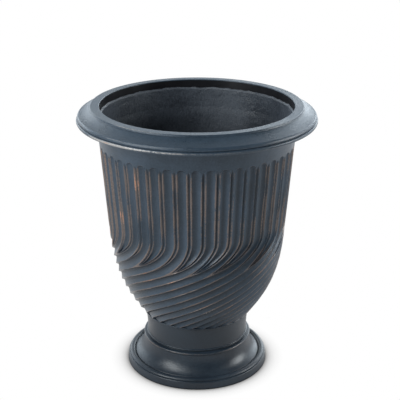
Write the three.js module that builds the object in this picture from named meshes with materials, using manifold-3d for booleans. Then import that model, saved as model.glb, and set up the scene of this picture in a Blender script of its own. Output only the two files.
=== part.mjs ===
// Urn planter: a fluted bowl with a moulded rim, bonded onto a hollow pedestal foot.
// Millimetres, +Z up, the origin on the ground under the centre. The front faces -Y.
//
// The flutes run straight down from the collar, then turn and wind round the bowl as a swirl.
// Every land between two flutes is a pair of ridges with a narrow groove between them. Where the
// flutes turn, lands close up, singly or in pairs, and each leaves one sharp arris in the swirl.
import * as THREE from 'three';
import { mergeVertices } from 'three/addons/utils/BufferGeometryUtils.js';
import Module from 'manifold-3d';

const wasm = await Module();
wasm.setup();

// ---------------------------------------------------------------- driving dimensions

// Whole planter
const OVERALL_HEIGHT = 560;
const RIM_RADIUS = 238.5;
const JOINT_GAP = 0.3;          // glue line or running gap between two pieces
const ROUND_SEGMENTS = 44;      // facets round the large turned pieces
const SMALL_SEGMENTS = 16;      // and round the drain, the plug and the pads
const SWIRL_ROWS = 10;          // rows of facets down the swirl

// Rim ring
const RIM_WIDTH = 46;           // from the mouth to the outermost edge
const RIM_HEIGHT = 33.5;        // from the bowl's shoulder to the flat lip
const LIP_WIDTH = 17.9;         // flat top of the rim
const LIP_STEP = 4.2;           // small step down outside the lip
const EDGE_BEAD_HEIGHT = 6.6;   // rounded bead along the foot of the rim's outer edge
const EDGE_BEAD_RISE = 2.6;     // underside of the bead above the bowl's shoulder
const EDGE_QUIRK = 1.2;         // fine groove between the bead and the rounded edge over it
const EDGE_ROLL_TOP = 17.4;     // where the rounded edge runs into the sloping top
const LAP_HEIGHT = 10;          // height of the half-lap between the rim and the bowl
const LAP_TONGUE = 3.7;         // thickness of the bowl's half of the lap

// Bowl
const BOWL_WALL = 8.5;          // from the ridges to the inside
const BOWL_FOOT_RADIUS = 111.3;
const BOWL_FLOOR = 9;           // thickness of the floor round the drain hole
const SHOULDER_INSET = 22.2;    // the belly's top is this much narrower than the collar
const SHOULDER_HEIGHT = 173;    // above the bowl's foot
const COLLAR_DEPTH = 39.5;      // plain band between the flutes and the rim
const COLLAR_FLARE = 6.4;       // how far the band flares outwards to the rim
const SPIGOT_LENGTH = 12;       // ring under the bowl that drops into the pedestal
const SPIGOT_WALL = 8;

// Straight flutes
const CHANNEL_DEPTH = 4.6;
const SIDE_DEPTH = 0.72;        // depth halfway up a channel's sides, as a part of its depth
const GROOVE_DEPTH = 2.6;       // narrow groove down the middle of a land
const LAND_SHARE = 0.3;         // part of the pitch that a land takes, between its two ridges
const ARCH_RISE = 8.5;          // round top of a channel
const ARCH_WALL = 4.5;          // height over which the arched top runs down to full depth
const GROOVE_POINT = 12;        // length of the pointed top of a groove
const FIRST_LAND_ANGLE = -52.3; // degrees, 0 at the front and positive towards +X
// Lands that close into each arris, in order round the bowl: three arrises from five lands here and
// there, and two from three elsewhere.
const LAND_GROUPS = [2, 1, 2, 1, 2, 2, 2, 1, 2, ...new Array(10).fill([1, 2]).flat()];

// Swirl
const SWIRL_LEAD = 530;         // height in which the swirl would wind once round
const SWIRL_HEIGHT = 139.5;     // above the bowl's foot, where the full swirl begins
const TURN_HEIGHT = 78.5;       // height over which the flutes turn into the swirl
const FIRST_ARRIS_ANGLE = -46;  // degrees, before the swirl turns it
const SCOOP_DEPTH = 4.6;        // between two arrises
const SCOOP_FOOT_DEPTH = 4.2;   // the same at the bowl's foot
const SCOOP_DEEPEST = 0.2;      // place of a scoop's deepest line, as a part of its width
const SCOOP_SHAPE = [0.75, 1, 0.5]; // depths of its three lines, as parts of its depth
const SHALLOWING = 1 / 3;       // last part of a line's closing, in which it also gets shallow
// Where lands start to close and where each line ends, as parts of the turn from its top
const CLOSING_START = 0.14;
const PAIR_CHANNEL_END = 0.82;
const GROOVE_END = 0.86;
const PAIR_RIDGE_END = 0.95;

// Pedestal
const PEDESTAL_HEIGHT = 118;
const BASE_RADIUS = 148;
const PLINTH_HEIGHT = 15.5;     // top of the plain band
const PLINTH_BEAD_WIDTH = 11.4; // a wide, flat bead that lies on the plinth
const PLINTH_BEAD_RISE = 4;
const PLINTH_BEAD_LEAN = 2.2;   // its inner edge is this much higher than its outer edge
const FOOT_RING_WIDTH = 22;     // flat underside that stands on the pads
const PEDESTAL_WALL = 8;
const NECK_OVERHANG = 3.3;      // the bowl's foot stands out this far over the neck
const NECK_HOLLOW = 3.5;        // the neck's waist is this much narrower than its top
const NECK_LENGTH = 48;         // from the fine ring to the seat of the bowl
const FOOT_BEAD_PROUD = 7.9;    // the foot bead stands out this far from the waist
const FOOT_BEAD_THICKNESS = 5.6;
const FOOT_BEAD_DROP = 58.2;    // middle of the foot bead, below the seat of the bowl
const NECK_QUIRK_DROP = 53.6;   // deep groove over the foot bead
const NECK_RING_DROP = 50.6;    // fine ring over that groove

// Bonding strips
const RIM_STRIP_THICKNESS = 3;
const RIM_STRIP_ABOVE = 17;     // reach above the rim joint
const RIM_STRIP_BELOW = 28;     // reach below the rim joint
const NECK_STRIP_HEIGHT = 14;
const NECK_STRIP_THICKNESS = 4;

// Drain and pads
const DRAIN_RADIUS = 14;
const PLUG_FLANGE_RADIUS = 22;
const PLUG_FLANGE_THICKNESS = 4;
const PLUG_TAPER = 1.4;
const PLUG_KNOB_RADIUS = 7;
const PLUG_KNOB_HEIGHT = 13;
const PAD_RADIUS = 7.5;
const PAD_HEIGHT = 4;
const PAD_STANDOFF = 0.8;       // how far the pads hold the plinth off the ground
const PAD_COUNT = 4;

// ---------------------------------------------------------------- sizes that follow

const mouthRadius = RIM_RADIUS - RIM_WIDTH;
const collarRadius = mouthRadius + BOWL_WALL;
const bowlFootZ = PEDESTAL_HEIGHT + JOINT_GAP;
const bowlHeight = OVERALL_HEIGHT - RIM_HEIGHT - bowlFootZ;
const fluteTopZ = bowlHeight - COLLAR_DEPTH;
const fluteTopRadius = collarRadius - COLLAR_FLARE;
const shoulderRadius = collarRadius - SHOULDER_INSET;
const turnTopZ = SWIRL_HEIGHT + TURN_HEIGHT;
const tongueInnerRadius = collarRadius - LAP_TONGUE;
const neckTopRadius = BOWL_FOOT_RADIUS - NECK_OVERHANG;
const neckWaistRadius = neckTopRadius - NECK_HOLLOW;
const pedestalBore = neckWaistRadius - PEDESTAL_WALL;
const spigotRadius = pedestalBore - JOINT_GAP;

const landCount = LAND_GROUPS.reduce((sum, lands) => sum + lands, 0);
const landPitch = 360 / landCount;
const arrisPitch = 360 / LAND_GROUPS.length;

// ---------------------------------------------------------------- helpers

const lerp = THREE.MathUtils.lerp;

// Goes smoothly from 0 at height `from` to 1 at height `to`; either may be the higher.
function ease(z, from, to) {
  const t = THREE.MathUtils.clamp((z - from) / (to - from), 0, 1);
  return t * t * (3 - 2 * t);
}

// Points on a curve, as [radius, height] pairs, without its last point.
function along(curve, steps) {
  return curve.getPoints(steps).slice(0, -1).map((p) => [p.x, p.y]);
}

function bezier(...points) {
  return new THREE.CubicBezierCurve(...points.map(([r, z]) => new THREE.Vector2(r, z)));
}

// Radius of a faceted bore whose flats clear a round piece of this radius by the joint gap.
function boreRound(radius) {
  return (radius + JOINT_GAP) / Math.cos(Math.PI / ROUND_SEGMENTS);
}

// A half-round bead from one edge point to the other. It stands out by `bulge` at right angles to the
// line between them: outwards where that line runs up, and upwards where it runs inwards.
function bead([r0, z0], [r1, z1], bulge, steps) {
  const length = Math.hypot(r1 - r0, z1 - z0);
  const points = [];
  for (let i = 0; i <= steps; i += 1) {
    const turn = (Math.PI * i) / steps;
    const t = (1 - Math.cos(turn)) / 2;
    const out = (bulge * Math.sin(turn)) / length;
    points.push([lerp(r0, r1, t) + out * (z1 - z0), lerp(z0, z1, t) + out * (r0 - r1)]);
  }
  return points;
}

// A turned piece from a closed outline of [radius, height] points that runs upwards on its outer side.
function turned(outline, segments = ROUND_SEGMENTS) {
  const onAxis = outline[0][0] === 0;
  const points = outline.map(([r, z]) => new THREE.Vector2(r, z));
  if (!onAxis) points.push(points[0].clone());
  return new THREE.LatheGeometry(points, segments).rotateX(Math.PI / 2);
}

function solidOf(geometry) {
  const bare = geometry.clone();
  bare.deleteAttribute('normal');
  bare.deleteAttribute('uv');
  const merged = mergeVertices(bare, 1e-4);
  return new wasm.Manifold(new wasm.Mesh({
    numProp: 3,
    vertProperties: new Float32Array(merged.attributes.position.array),
    triVerts: new Uint32Array(merged.index.array),
  }));
}

function geometryOf(solid) {
  const { vertProperties, triVerts } = solid.getMesh();
  const geometry = new THREE.BufferGeometry();
  geometry.setAttribute('position', new THREE.BufferAttribute(new Float32Array(vertProperties), 3));
  geometry.setIndex(new THREE.BufferAttribute(new Uint32Array(triVerts), 1));
  geometry.computeVertexNormals();
  return geometry;
}

// ---------------------------------------------------------------- bowl: the smooth form

// The belly swells from the foot to the shoulder on one curve; its handles are parts of its size.
const bellyCurve = bezier(
  [BOWL_FOOT_RADIUS, 0],
  [lerp(BOWL_FOOT_RADIUS, shoulderRadius, 0.54), SHOULDER_HEIGHT * 0.28],
  [lerp(BOWL_FOOT_RADIUS, shoulderRadius, 0.9), SHOULDER_HEIGHT * 0.5],
  [shoulderRadius, SHOULDER_HEIGHT],
);

function bellyRadius(z) {
  let low = 0;
  let high = 1;
  for (let i = 0; i < 40; i += 1) {
    const middle = (low + high) / 2;
    if (bellyCurve.getPoint(middle).y < z) low = middle;
    else high = middle;
  }
  return bellyCurve.getPoint(low).x;
}

// Radius of the smooth form that the ridges lie on, at a height above the bowl's foot.
function bowlRadius(z) {
  if (z <= SHOULDER_HEIGHT) return bellyRadius(Math.max(z, 0));
  if (z <= fluteTopZ) {
    return lerp(shoulderRadius, fluteTopRadius, (z - SHOULDER_HEIGHT) / (fluteTopZ - SHOULDER_HEIGHT));
  }
  const t = Math.min((z - fluteTopZ) / COLLAR_DEPTH, 1);
  return fluteTopRadius + COLLAR_FLARE * lerp(t, t * t, 0.3);
}

// ---------------------------------------------------------------- bowl: flutes and swirl

// How far the swirl has turned a flute at this height, in degrees. It winds at a steady rate below
// the turn, and eases into that rate through the turn.
function swirlAngle(z) {
  const rate = 360 / SWIRL_LEAD;
  const below = THREE.MathUtils.clamp(turnTopZ - z, 0, TURN_HEIGHT);
  const steady = Math.max(SWIRL_HEIGHT - z, 0);
  return -rate * ((below * below) / (2 * TURN_HEIGHT) + steady);
}

// The groups of lands, each with the angle of its middle in the straight flutes and of its arris.
function landGroups() {
  let firstLand = 0;
  return LAND_GROUPS.map((lands, index) => {
    const middle = FIRST_LAND_ANGLE + (firstLand + (lands - 1) / 2) * landPitch;
    firstLand += lands;
    return { lands, middle, arris: FIRST_ARRIS_ANGLE + index * arrisPitch };
  });
}

// A line of the pattern that runs down the bowl. `offset` is its place beside the middle of its
// group, and `end` the part of the turn in which it has closed up to that middle.
function line(group, kind, offset, end) {
  const endZ = turnTopZ - end * TURN_HEIGHT;
  const startZ = turnTopZ - CLOSING_START * TURN_HEIGHT;
  const closed = (z) => THREE.MathUtils.clamp((z - startZ) / (endZ - startZ), 0, 1) ** 2;
  const middle = (z) => lerp(group.middle, group.arris, ease(z, turnTopZ, SWIRL_HEIGHT));
  return {
    kind,
    closed,
    angle: (z) => middle(z) + offset * (1 - closed(z)) + swirlAngle(z),
  };
}

function linesOfGroup(group) {
  const ridge = (LAND_SHARE / 2) * landPitch;
  if (group.lands === 1) {
    return [
      line(group, 'ridge', -ridge, GROOVE_END),
      line(group, 'groove', 0, GROOVE_END),
      line(group, 'ridge', ridge, GROOVE_END),
    ];
  }
  const half = landPitch / 2;
  return [
    line(group, 'ridge', -half - ridge, PAIR_RIDGE_END),
    line(group, 'groove', -half, GROOVE_END),
    line(group, 'ridge', -half + ridge, PAIR_CHANNEL_END),
    line(group, 'ridge', half - ridge, PAIR_CHANNEL_END),
    line(group, 'groove', half, GROOVE_END),
    line(group, 'ridge', half + ridge, PAIR_RIDGE_END),
  ];
}

// Every line round the bowl, with three more across each channel between two neighbouring ridges.
function patternLines() {
  const ridges = landGroups().map(linesOfGroup);
  const all = ridges.flat();
  const lines = [];
  all.forEach((left, i) => {
    const last = i === all.length - 1;
    const right = all[(i + 1) % all.length];
    lines.push(left);
    if (left.kind !== 'ridge' || right.kind !== 'ridge') return;
    const insidePair = ridges.some((group) => group.length === 6 && group[2] === left);
    for (const place of [1, 2, 3]) lines.push(channelLine(left, right, place, insidePair, last ? 360 : 0));
  });
  return lines;
}

// Line 1, 2 or 3 across a channel. Line 2 is the deepest: it is in the middle of a straight flute,
// and close under the upper arris in a scoop of the swirl.
function channelLine(left, right, place, dying, wrap) {
  const deepest = (z) => lerp(0.5, SCOOP_DEEPEST, ease(z, turnTopZ, SWIRL_HEIGHT));
  const across = (z) => [0, deepest(z) / 2, deepest(z), (1 + deepest(z)) / 2][place];
  return {
    kind: 'channel',
    place,
    closed: dying ? left.closed : () => 0,
    angle: (z) => lerp(left.angle(z), right.angle(z) + wrap, across(z)),
  };
}

function channelDepth(z, lineAcross) {
  const straight = lineAcross.place === 2 ? CHANNEL_DEPTH : CHANNEL_DEPTH * SIDE_DEPTH;
  const full = lerp(SCOOP_FOOT_DEPTH, SCOOP_DEPTH, Math.min(z / SWIRL_HEIGHT, 1));
  const scoop = full * SCOOP_SHAPE[lineAcross.place - 1];
  return lerp(straight, scoop, ease(z, turnTopZ, SWIRL_HEIGHT)) * depthLeft(z, lineAcross);
}

// Part of its depth that a closing line still has at this height.
function depthLeft(z, patternLine) {
  return Math.min((1 - patternLine.closed(z)) / SHALLOWING, 1);
}

// Depth of a line under the smooth form, below the arched tops.
function lineDepth(z, patternLine) {
  if (patternLine.kind === 'ridge') return 0;
  if (patternLine.kind === 'groove') return GROOVE_DEPTH * depthLeft(z, patternLine);
  return channelDepth(z, patternLine);
}

// Height at which a line's recess starts, under the plain collar.
function recessTop(patternLine) {
  if (patternLine.kind === 'ridge') return fluteTopZ - ARCH_RISE;
  if (patternLine.kind === 'groove') return fluteTopZ - ARCH_RISE * 0.3;
  const side = patternLine.place === 2 ? 0 : 0.5;
  return fluteTopZ - ARCH_RISE + ARCH_RISE * Math.sqrt(1 - side * side);
}

// The rows of points down the bowl. Each gives a line's height and depth there.
function patternRows() {
  const plain = (z) => ({ z: () => z, depth: () => 0, plain: true });
  const cut = (z) => ({ z: () => z, depth: (each) => lineDepth(z, each) });
  const rows = [
    plain(bowlHeight + LAP_HEIGHT - JOINT_GAP),
    plain(bowlHeight),
    plain(lerp(fluteTopZ, bowlHeight, 0.5)),
    { z: recessTop, depth: () => 0 },
    {
      z: (each) => recessTop(each) - (each.kind === 'groove' ? GROOVE_POINT : ARCH_WALL),
      depth: (each) => lineDepth(fluteTopZ, each),
    },
  ];
  const turnRows = [0, 0.25, 0.45, 0.65, PAIR_CHANNEL_END, GROOVE_END, PAIR_RIDGE_END];
  turnRows.forEach((part) => rows.push(cut(turnTopZ - part * TURN_HEIGHT)));
  for (let i = 0; i <= SWIRL_ROWS; i += 1) rows.push(cut(SWIRL_HEIGHT * (1 - i / SWIRL_ROWS)));
  return rows;
}

// On the plain collar the grooves' lines and the channels' side lines join their neighbours.
function collarLine(lines, index) {
  const each = lines[index];
  if (each.kind === 'groove' || each.place === 1) return lines[index - 1];
  if (each.place === 3 && index + 1 < lines.length) return lines[index + 1];
  return each;
}

// The bowl's outside as one closed skin, with flat caps at the top and at the foot.
function flutedBody() {
  const lines = patternLines();
  const rows = patternRows();
  const points = [];
  for (const row of rows) {
    lines.forEach((each, index) => {
      const z = row.z(each);
      const radius = bowlRadius(z) - row.depth(each);
      const angle = THREE.MathUtils.degToRad((row.plain ? collarLine(lines, index) : each).angle(z));
      points.push(radius * Math.sin(angle), -radius * Math.cos(angle), z);
    });
  }
  const width = lines.length;
  const topCentre = points.length / 3;
  points.push(0, 0, rows[0].z());
  const footCentre = topCentre + 1;
  points.push(0, 0, 0);

  const faces = [];
  const lastRow = (rows.length - 1) * width;
  for (let column = 0; column < width; column += 1) {
    const next = (column + 1) % width;
    faces.push(topCentre, column, next, footCentre, lastRow + next, lastRow + column);
    for (let start = 0; start < lastRow; start += width) {
      const below = start + width;
      faces.push(start + column, below + column, below + next);
      faces.push(start + column, below + next, start + next);
    }
  }
  const skin = new THREE.BufferGeometry();
  skin.setAttribute('position', new THREE.BufferAttribute(new Float32Array(points), 3));
  skin.setIndex(faces);
  return withoutEmptyFaces(mergeVertices(skin, 1e-3));
}

// Where lines have closed up, their faces have shrunk to nothing and are dropped.
function withoutEmptyFaces(geometry) {
  const index = geometry.index.array;
  const kept = [];
  for (let i = 0; i < index.length; i += 3) {
    const [a, b, c] = [index[i], index[i + 1], index[i + 2]];
    if (a !== b && b !== c && c !== a) kept.push(a, b, c);
  }
  geometry.setIndex(kept);
  return geometry;
}

// ---------------------------------------------------------------- bowl: the piece

// Inside of the bowl: its wall follows the smooth form, and its floor is flat round the drain.
function cavityOutline() {
  const flatRadius = PLUG_FLANGE_RADIUS + 4;
  const cornerZ = BOWL_FLOOR + 14;
  const wall = [];
  const steps = 6;
  for (let i = 0; i <= steps; i += 1) {
    const z = lerp(cornerZ, bowlHeight, Math.pow(i / steps, 1.25));
    wall.push([bowlRadius(z) - BOWL_WALL, z]);
  }
  const aboveTop = bowlHeight + LAP_HEIGHT + 5;
  return [
    [0, BOWL_FLOOR],
    [flatRadius, BOWL_FLOOR],
    [lerp(flatRadius, wall[0][0], 0.7), BOWL_FLOOR + 3],
    ...wall,
    [tongueInnerRadius, bowlHeight],
    [tongueInnerRadius, aboveTop],
    [0, aboveTop],
  ];
}

function bowlShell() {
  const spigot = turned([
    [spigotRadius - SPIGOT_WALL, -SPIGOT_LENGTH],
    [spigotRadius, -SPIGOT_LENGTH],
    [spigotRadius, BOWL_FLOOR / 2],
    [spigotRadius - SPIGOT_WALL, BOWL_FLOOR / 2],
  ]);
  const drain = turned([
    [0, -BOWL_FLOOR],
    [DRAIN_RADIUS, -BOWL_FLOOR],
    [DRAIN_RADIUS, BOWL_FLOOR * 2],
    [0, BOWL_FLOOR * 2],
  ], SMALL_SEGMENTS);
  const body = solidOf(flutedBody()).subtract(solidOf(turned(cavityOutline())));
  return geometryOf(body.add(solidOf(spigot)).subtract(solidOf(drain)));
}

// ---------------------------------------------------------------- rim ring

// The ring stands on the bowl's shoulder, z = 0 here, and its groove takes the bowl's tongue.
function rimRing() {
  const lipOuter = mouthRadius + LIP_WIDTH;
  const grooveRadius = boreRound(collarRadius);
  const beadTop = EDGE_BEAD_RISE + EDGE_BEAD_HEIGHT;
  const beadInset = 2.2;
  return turned([
    [mouthRadius, JOINT_GAP],
    [tongueInnerRadius - JOINT_GAP, JOINT_GAP],
    [tongueInnerRadius - JOINT_GAP, LAP_HEIGHT + JOINT_GAP],
    [grooveRadius, LAP_HEIGHT + JOINT_GAP],
    [grooveRadius, JOINT_GAP + 1],
    [lerp(collarRadius, RIM_RADIUS, 0.15), JOINT_GAP + 1.4],
    ...bead([RIM_RADIUS - beadInset, EDGE_BEAD_RISE], [RIM_RADIUS - beadInset, beadTop], beadInset, 2),
    [RIM_RADIUS - beadInset - EDGE_QUIRK, beadTop + 0.6],
    ...bead([RIM_RADIUS - 2.6, beadTop + 1.4], [RIM_RADIUS - 6.2, EDGE_ROLL_TOP], 2.6, 3),
    [lipOuter + 2, RIM_HEIGHT - LIP_STEP],
    [lipOuter + 0.4, RIM_HEIGHT - LIP_STEP + 1],
    [lipOuter, RIM_HEIGHT - 1.2],
    [lipOuter - 1.2, RIM_HEIGHT],
    [mouthRadius + 1.4, RIM_HEIGHT],
    [mouthRadius, RIM_HEIGHT - 1.4],
  ]);
}

// ---------------------------------------------------------------- pedestal

// Outside of the foot and the neck, from the ground to the seat of the bowl.
function pedestalOutside() {
  const plinthTop = BASE_RADIUS - 3;
  const beadOuter = plinthTop - 1.2;
  const beadOuterZ = PLINTH_HEIGHT + 1.1;
  const beadInner = beadOuter - PLINTH_BEAD_WIDTH;
  const beadInnerZ = beadOuterZ + PLINTH_BEAD_LEAN;
  const coveFoot = beadInner - 2;
  const coveFootZ = beadInnerZ + 0.6;
  const coveHead = neckWaistRadius + FOOT_BEAD_PROUD - 2.6;
  const beadZ = PEDESTAL_HEIGHT - FOOT_BEAD_DROP;
  const beadFootZ = beadZ - FOOT_BEAD_THICKNESS / 2;
  const beadHeadZ = beadZ + FOOT_BEAD_THICKNESS / 2;
  const quirkZ = PEDESTAL_HEIGHT - NECK_QUIRK_DROP;
  const quirkRadius = neckWaistRadius + 0.2;
  const ringZ = PEDESTAL_HEIGHT - NECK_RING_DROP;
  const ringRadius = neckWaistRadius + 1.2;
  const cove = bezier(
    [coveFoot, coveFootZ],
    [lerp(coveFoot, coveHead, 0.6), coveFootZ + 6.5],
    [coveHead + 1.5, lerp(coveFootZ, beadFootZ, 0.5)],
    [coveHead, beadFootZ],
  );
  const neckFootZ = PEDESTAL_HEIGHT - NECK_LENGTH;
  const neck = bezier(
    [ringRadius - 0.8, neckFootZ],
    [neckWaistRadius - 0.4, neckFootZ + NECK_LENGTH * 0.22],
    [neckWaistRadius, neckFootZ + NECK_LENGTH * 0.53],
    [neckTopRadius, PEDESTAL_HEIGHT],
  );
  return [
    [BASE_RADIUS - 1.2, PAD_STANDOFF],
    [BASE_RADIUS, PAD_STANDOFF + 1.4],
    [plinthTop + 1, PLINTH_HEIGHT - 1],
    [beadOuter - 0.4, beadOuterZ - 0.5],
    ...bead([beadOuter, beadOuterZ], [beadInner, beadInnerZ], PLINTH_BEAD_RISE, 4),
    [beadInner - 1, beadInnerZ - 0.4],
    ...along(cove, 5),
    ...bead([coveHead + 0.4, beadFootZ + 0.6], [coveHead, beadHeadZ], 2.4, 3),
    [quirkRadius, quirkZ - 0.6],
    [quirkRadius, quirkZ + 0.8],
    ...bead([ringRadius, ringZ - 1.4], [ringRadius, ringZ + 1.4], 0.9, 2),
    [ringRadius - 1, ringZ + 1.9],
    ...along(neck, 3),
    [neckTopRadius, PEDESTAL_HEIGHT],
  ];
}

// The hollow inside runs parallel to the outside and is open at both ends.
function pedestal() {
  const throatZ = PEDESTAL_HEIGHT - FOOT_BEAD_DROP + FOOT_BEAD_THICKNESS;
  const skirtRadius = BASE_RADIUS - FOOT_RING_WIDTH;
  const hollow = bezier(
    [pedestalBore, throatZ],
    [pedestalBore + 2, lerp(throatZ, PLINTH_HEIGHT, 0.5)],
    [lerp(pedestalBore, skirtRadius, 0.5), PLINTH_HEIGHT + 1],
    [skirtRadius, PLINTH_HEIGHT - 2],
  );
  const body = solidOf(turned([
    ...pedestalOutside(),
    [pedestalBore, PEDESTAL_HEIGHT],
    ...along(hollow, 2),
    [skirtRadius, PLINTH_HEIGHT - 2],
    [skirtRadius, PAD_STANDOFF],
  ]));
  const depth = PAD_HEIGHT + JOINT_GAP;
  const pocketRadius = PAD_RADIUS + JOINT_GAP;
  const pocket = turned([[0, -1], [pocketRadius, -1], [pocketRadius, depth], [0, depth]], SMALL_SEGMENTS);
  return geometryOf(padPlaces().reduce(
    (rest, [x, y]) => rest.subtract(solidOf(pocket).translate([x, y, 0])),
    body,
  ));
}

// Centres of the pads, spaced evenly round the flat underside of the plinth.
function padPlaces() {
  const radius = BASE_RADIUS - FOOT_RING_WIDTH / 2;
  return Array.from({ length: PAD_COUNT }, (_, i) => {
    const angle = ((i + 0.5) / PAD_COUNT) * 2 * Math.PI;
    return [radius * Math.cos(angle), radius * Math.sin(angle)];
  });
}

function footPad() {
  const chamfer = 0.6;
  return turned([
    [0, 0],
    [PAD_RADIUS - chamfer, 0],
    [PAD_RADIUS, chamfer],
    [PAD_RADIUS, PAD_HEIGHT],
    [0, PAD_HEIGHT],
  ], SMALL_SEGMENTS);
}

// ---------------------------------------------------------------- bonding strips

// Laid up inside the mouth over the joint of the rim, z = 0 at the bowl's foot.
function rimBondStrip() {
  const below = bowlHeight - RIM_STRIP_BELOW;
  const above = bowlHeight + RIM_STRIP_ABOVE;
  const back = (z) => Math.min(bowlRadius(z) - BOWL_WALL, mouthRadius) - JOINT_GAP;
  return turned([
    [back(below) - 0.2, below],
    [back(bowlHeight), bowlHeight],
    [mouthRadius - JOINT_GAP, above],
    [mouthRadius - JOINT_GAP - 1.2, above],
    [mouthRadius - RIM_STRIP_THICKNESS, above - 3],
    [back(bowlHeight) - RIM_STRIP_THICKNESS, bowlHeight],
    [back(below) - 1.4, below],
  ]);
}

// Laid up inside the pedestal under the bowl's spigot, z = 0 at the bowl's foot.
function neckBondStrip() {
  const top = -SPIGOT_LENGTH - JOINT_GAP;
  const bottom = top - NECK_STRIP_HEIGHT;
  return turned([
    [spigotRadius - 1.5, bottom],
    [spigotRadius, bottom + 1],
    [spigotRadius, top],
    [spigotRadius - SPIGOT_WALL, top],
    [spigotRadius - NECK_STRIP_THICKNESS, top - 4],
  ]);
}

// ---------------------------------------------------------------- drain plug

// A rubber bung with a flange and a finger knob, z = 0 at the underside of the flange.
function drainPlug() {
  const stem = DRAIN_RADIUS - JOINT_GAP - 0.2;
  const knobZ = PLUG_FLANGE_THICKNESS + PLUG_KNOB_HEIGHT;
  return turned([
    [0, -BOWL_FLOOR - 3],
    [stem - PLUG_TAPER - 1, -BOWL_FLOOR - 3],
    [stem - PLUG_TAPER, -BOWL_FLOOR - 2],
    [stem, 0],
    [PLUG_FLANGE_RADIUS - 0.8, 0],
    [PLUG_FLANGE_RADIUS, 1],
    [PLUG_FLANGE_RADIUS - 1.5, PLUG_FLANGE_THICKNESS],
    [PLUG_KNOB_RADIUS, PLUG_FLANGE_THICKNESS],
    [PLUG_KNOB_RADIUS - 2.5, lerp(PLUG_FLANGE_THICKNESS, knobZ, 0.35)],
    [PLUG_KNOB_RADIUS - 0.4, lerp(PLUG_FLANGE_THICKNESS, knobZ, 0.65)],
    [PLUG_KNOB_RADIUS - 1.6, knobZ - 1.6],
    [0, knobZ],
  ], SMALL_SEGMENTS);
}

// ---------------------------------------------------------------- assembly

const paintedResin = { color: 0x3f4d5a, roughness: 0.55, metalness: 0.0 };
const rawLayUp = { color: 0x1d2023, roughness: 0.8, metalness: 0.0 };
const blackRubber = { color: 0x141414, roughness: 0.85, metalness: 0.0 };

function piece(name, geometry, finish, z = 0) {
  const mesh = new THREE.Mesh(geometry, new THREE.MeshStandardMaterial(finish));
  mesh.name = name;
  mesh.position.z = z;
  return mesh;
}

// Everything that is laid up with the bowl, with z = 0 at the bowl's foot.
function bowlAssembly() {
  const group = new THREE.Group();
  group.position.z = bowlFootZ;
  group.add(
    piece('bowl_shell', bowlShell(), paintedResin),
    piece('rim_ring', rimRing(), paintedResin, bowlHeight),
    piece('rim_bond_strip', rimBondStrip(), rawLayUp),
    piece('neck_bond_strip', neckBondStrip(), rawLayUp),
    piece('drain_plug', drainPlug(), blackRubber, BOWL_FLOOR + JOINT_GAP),
  );
  return group;
}

function footAssembly() {
  const group = new THREE.Group();
  group.add(piece('pedestal', pedestal(), paintedResin));
  padPlaces().forEach(([x, y], i) => {
    const pad = piece(`foot_pad_${i + 1}`, footPad(), blackRubber);
    pad.position.set(x, y, 0);
    group.add(pad);
  });
  return group;
}

const planter = new THREE.Group();
planter.name = 'urn_planter';
planter.add(footAssembly(), bowlAssembly());

export default planter;
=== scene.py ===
import logging
import math
from collections.abc import Sequence
from dataclasses import dataclass
from enum import Enum

import bpy
import numpy as np
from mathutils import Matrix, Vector


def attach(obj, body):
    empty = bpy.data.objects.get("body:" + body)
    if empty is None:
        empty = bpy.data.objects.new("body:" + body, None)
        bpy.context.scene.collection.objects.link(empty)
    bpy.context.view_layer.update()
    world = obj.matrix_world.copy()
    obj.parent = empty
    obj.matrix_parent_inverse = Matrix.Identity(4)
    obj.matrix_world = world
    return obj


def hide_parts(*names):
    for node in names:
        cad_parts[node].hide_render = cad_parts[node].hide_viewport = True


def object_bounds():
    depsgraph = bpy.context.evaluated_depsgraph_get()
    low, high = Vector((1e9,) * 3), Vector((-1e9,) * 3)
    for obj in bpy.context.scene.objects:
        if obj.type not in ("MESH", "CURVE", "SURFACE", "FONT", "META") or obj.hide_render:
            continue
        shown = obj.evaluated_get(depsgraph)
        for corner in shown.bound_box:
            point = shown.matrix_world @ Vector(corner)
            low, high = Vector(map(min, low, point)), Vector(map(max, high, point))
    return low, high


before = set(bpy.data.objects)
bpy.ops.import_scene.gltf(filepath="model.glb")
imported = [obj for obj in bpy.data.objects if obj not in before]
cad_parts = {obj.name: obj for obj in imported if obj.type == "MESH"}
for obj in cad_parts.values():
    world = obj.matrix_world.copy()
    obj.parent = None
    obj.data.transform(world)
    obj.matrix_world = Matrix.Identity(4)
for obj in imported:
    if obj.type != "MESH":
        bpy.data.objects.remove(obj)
CAD_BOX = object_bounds()

LOG = logging.getLogger("urn_planter")
MM = 0.001
GLUE_LINE = 0.3   # gap between two pieces that are glued together, in millimetres
FULL_TURN = 2 * math.pi

Point = tuple[float, float]
Colour = tuple[float, float, float]
Direction = tuple[float, float, float]
Station = tuple[float, float, float, float, bool]   # radius, height, edge, sunk, end of an arc


class Slot(Enum):
    """The record's material slots."""

    PAINT = "painted_resin"
    LAY_UP = "raw_lay_up"
    RUBBER = "black_rubber"


class Mark(Enum):
    """Numbers that a mesh keeps at its points for its finish."""

    EDGE = "edge"      # 1 where hands and weather rub the paint through; on the rim also a pale painted highlight
    GRIME_AND_PAINTED_SHADE = "sunk"      # 1 where the paint is darkened: soiling at the bottom of a recess with painted shade there, and painted shade on the neck and deep inside the bowl
    RAW = "raw"        # 1 on hand-laid surfaces
    FRAY = "fray"      # 1 along the torn edge of a laid-up strip


# ---------------------------------------------------------------------------- meshes


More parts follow.
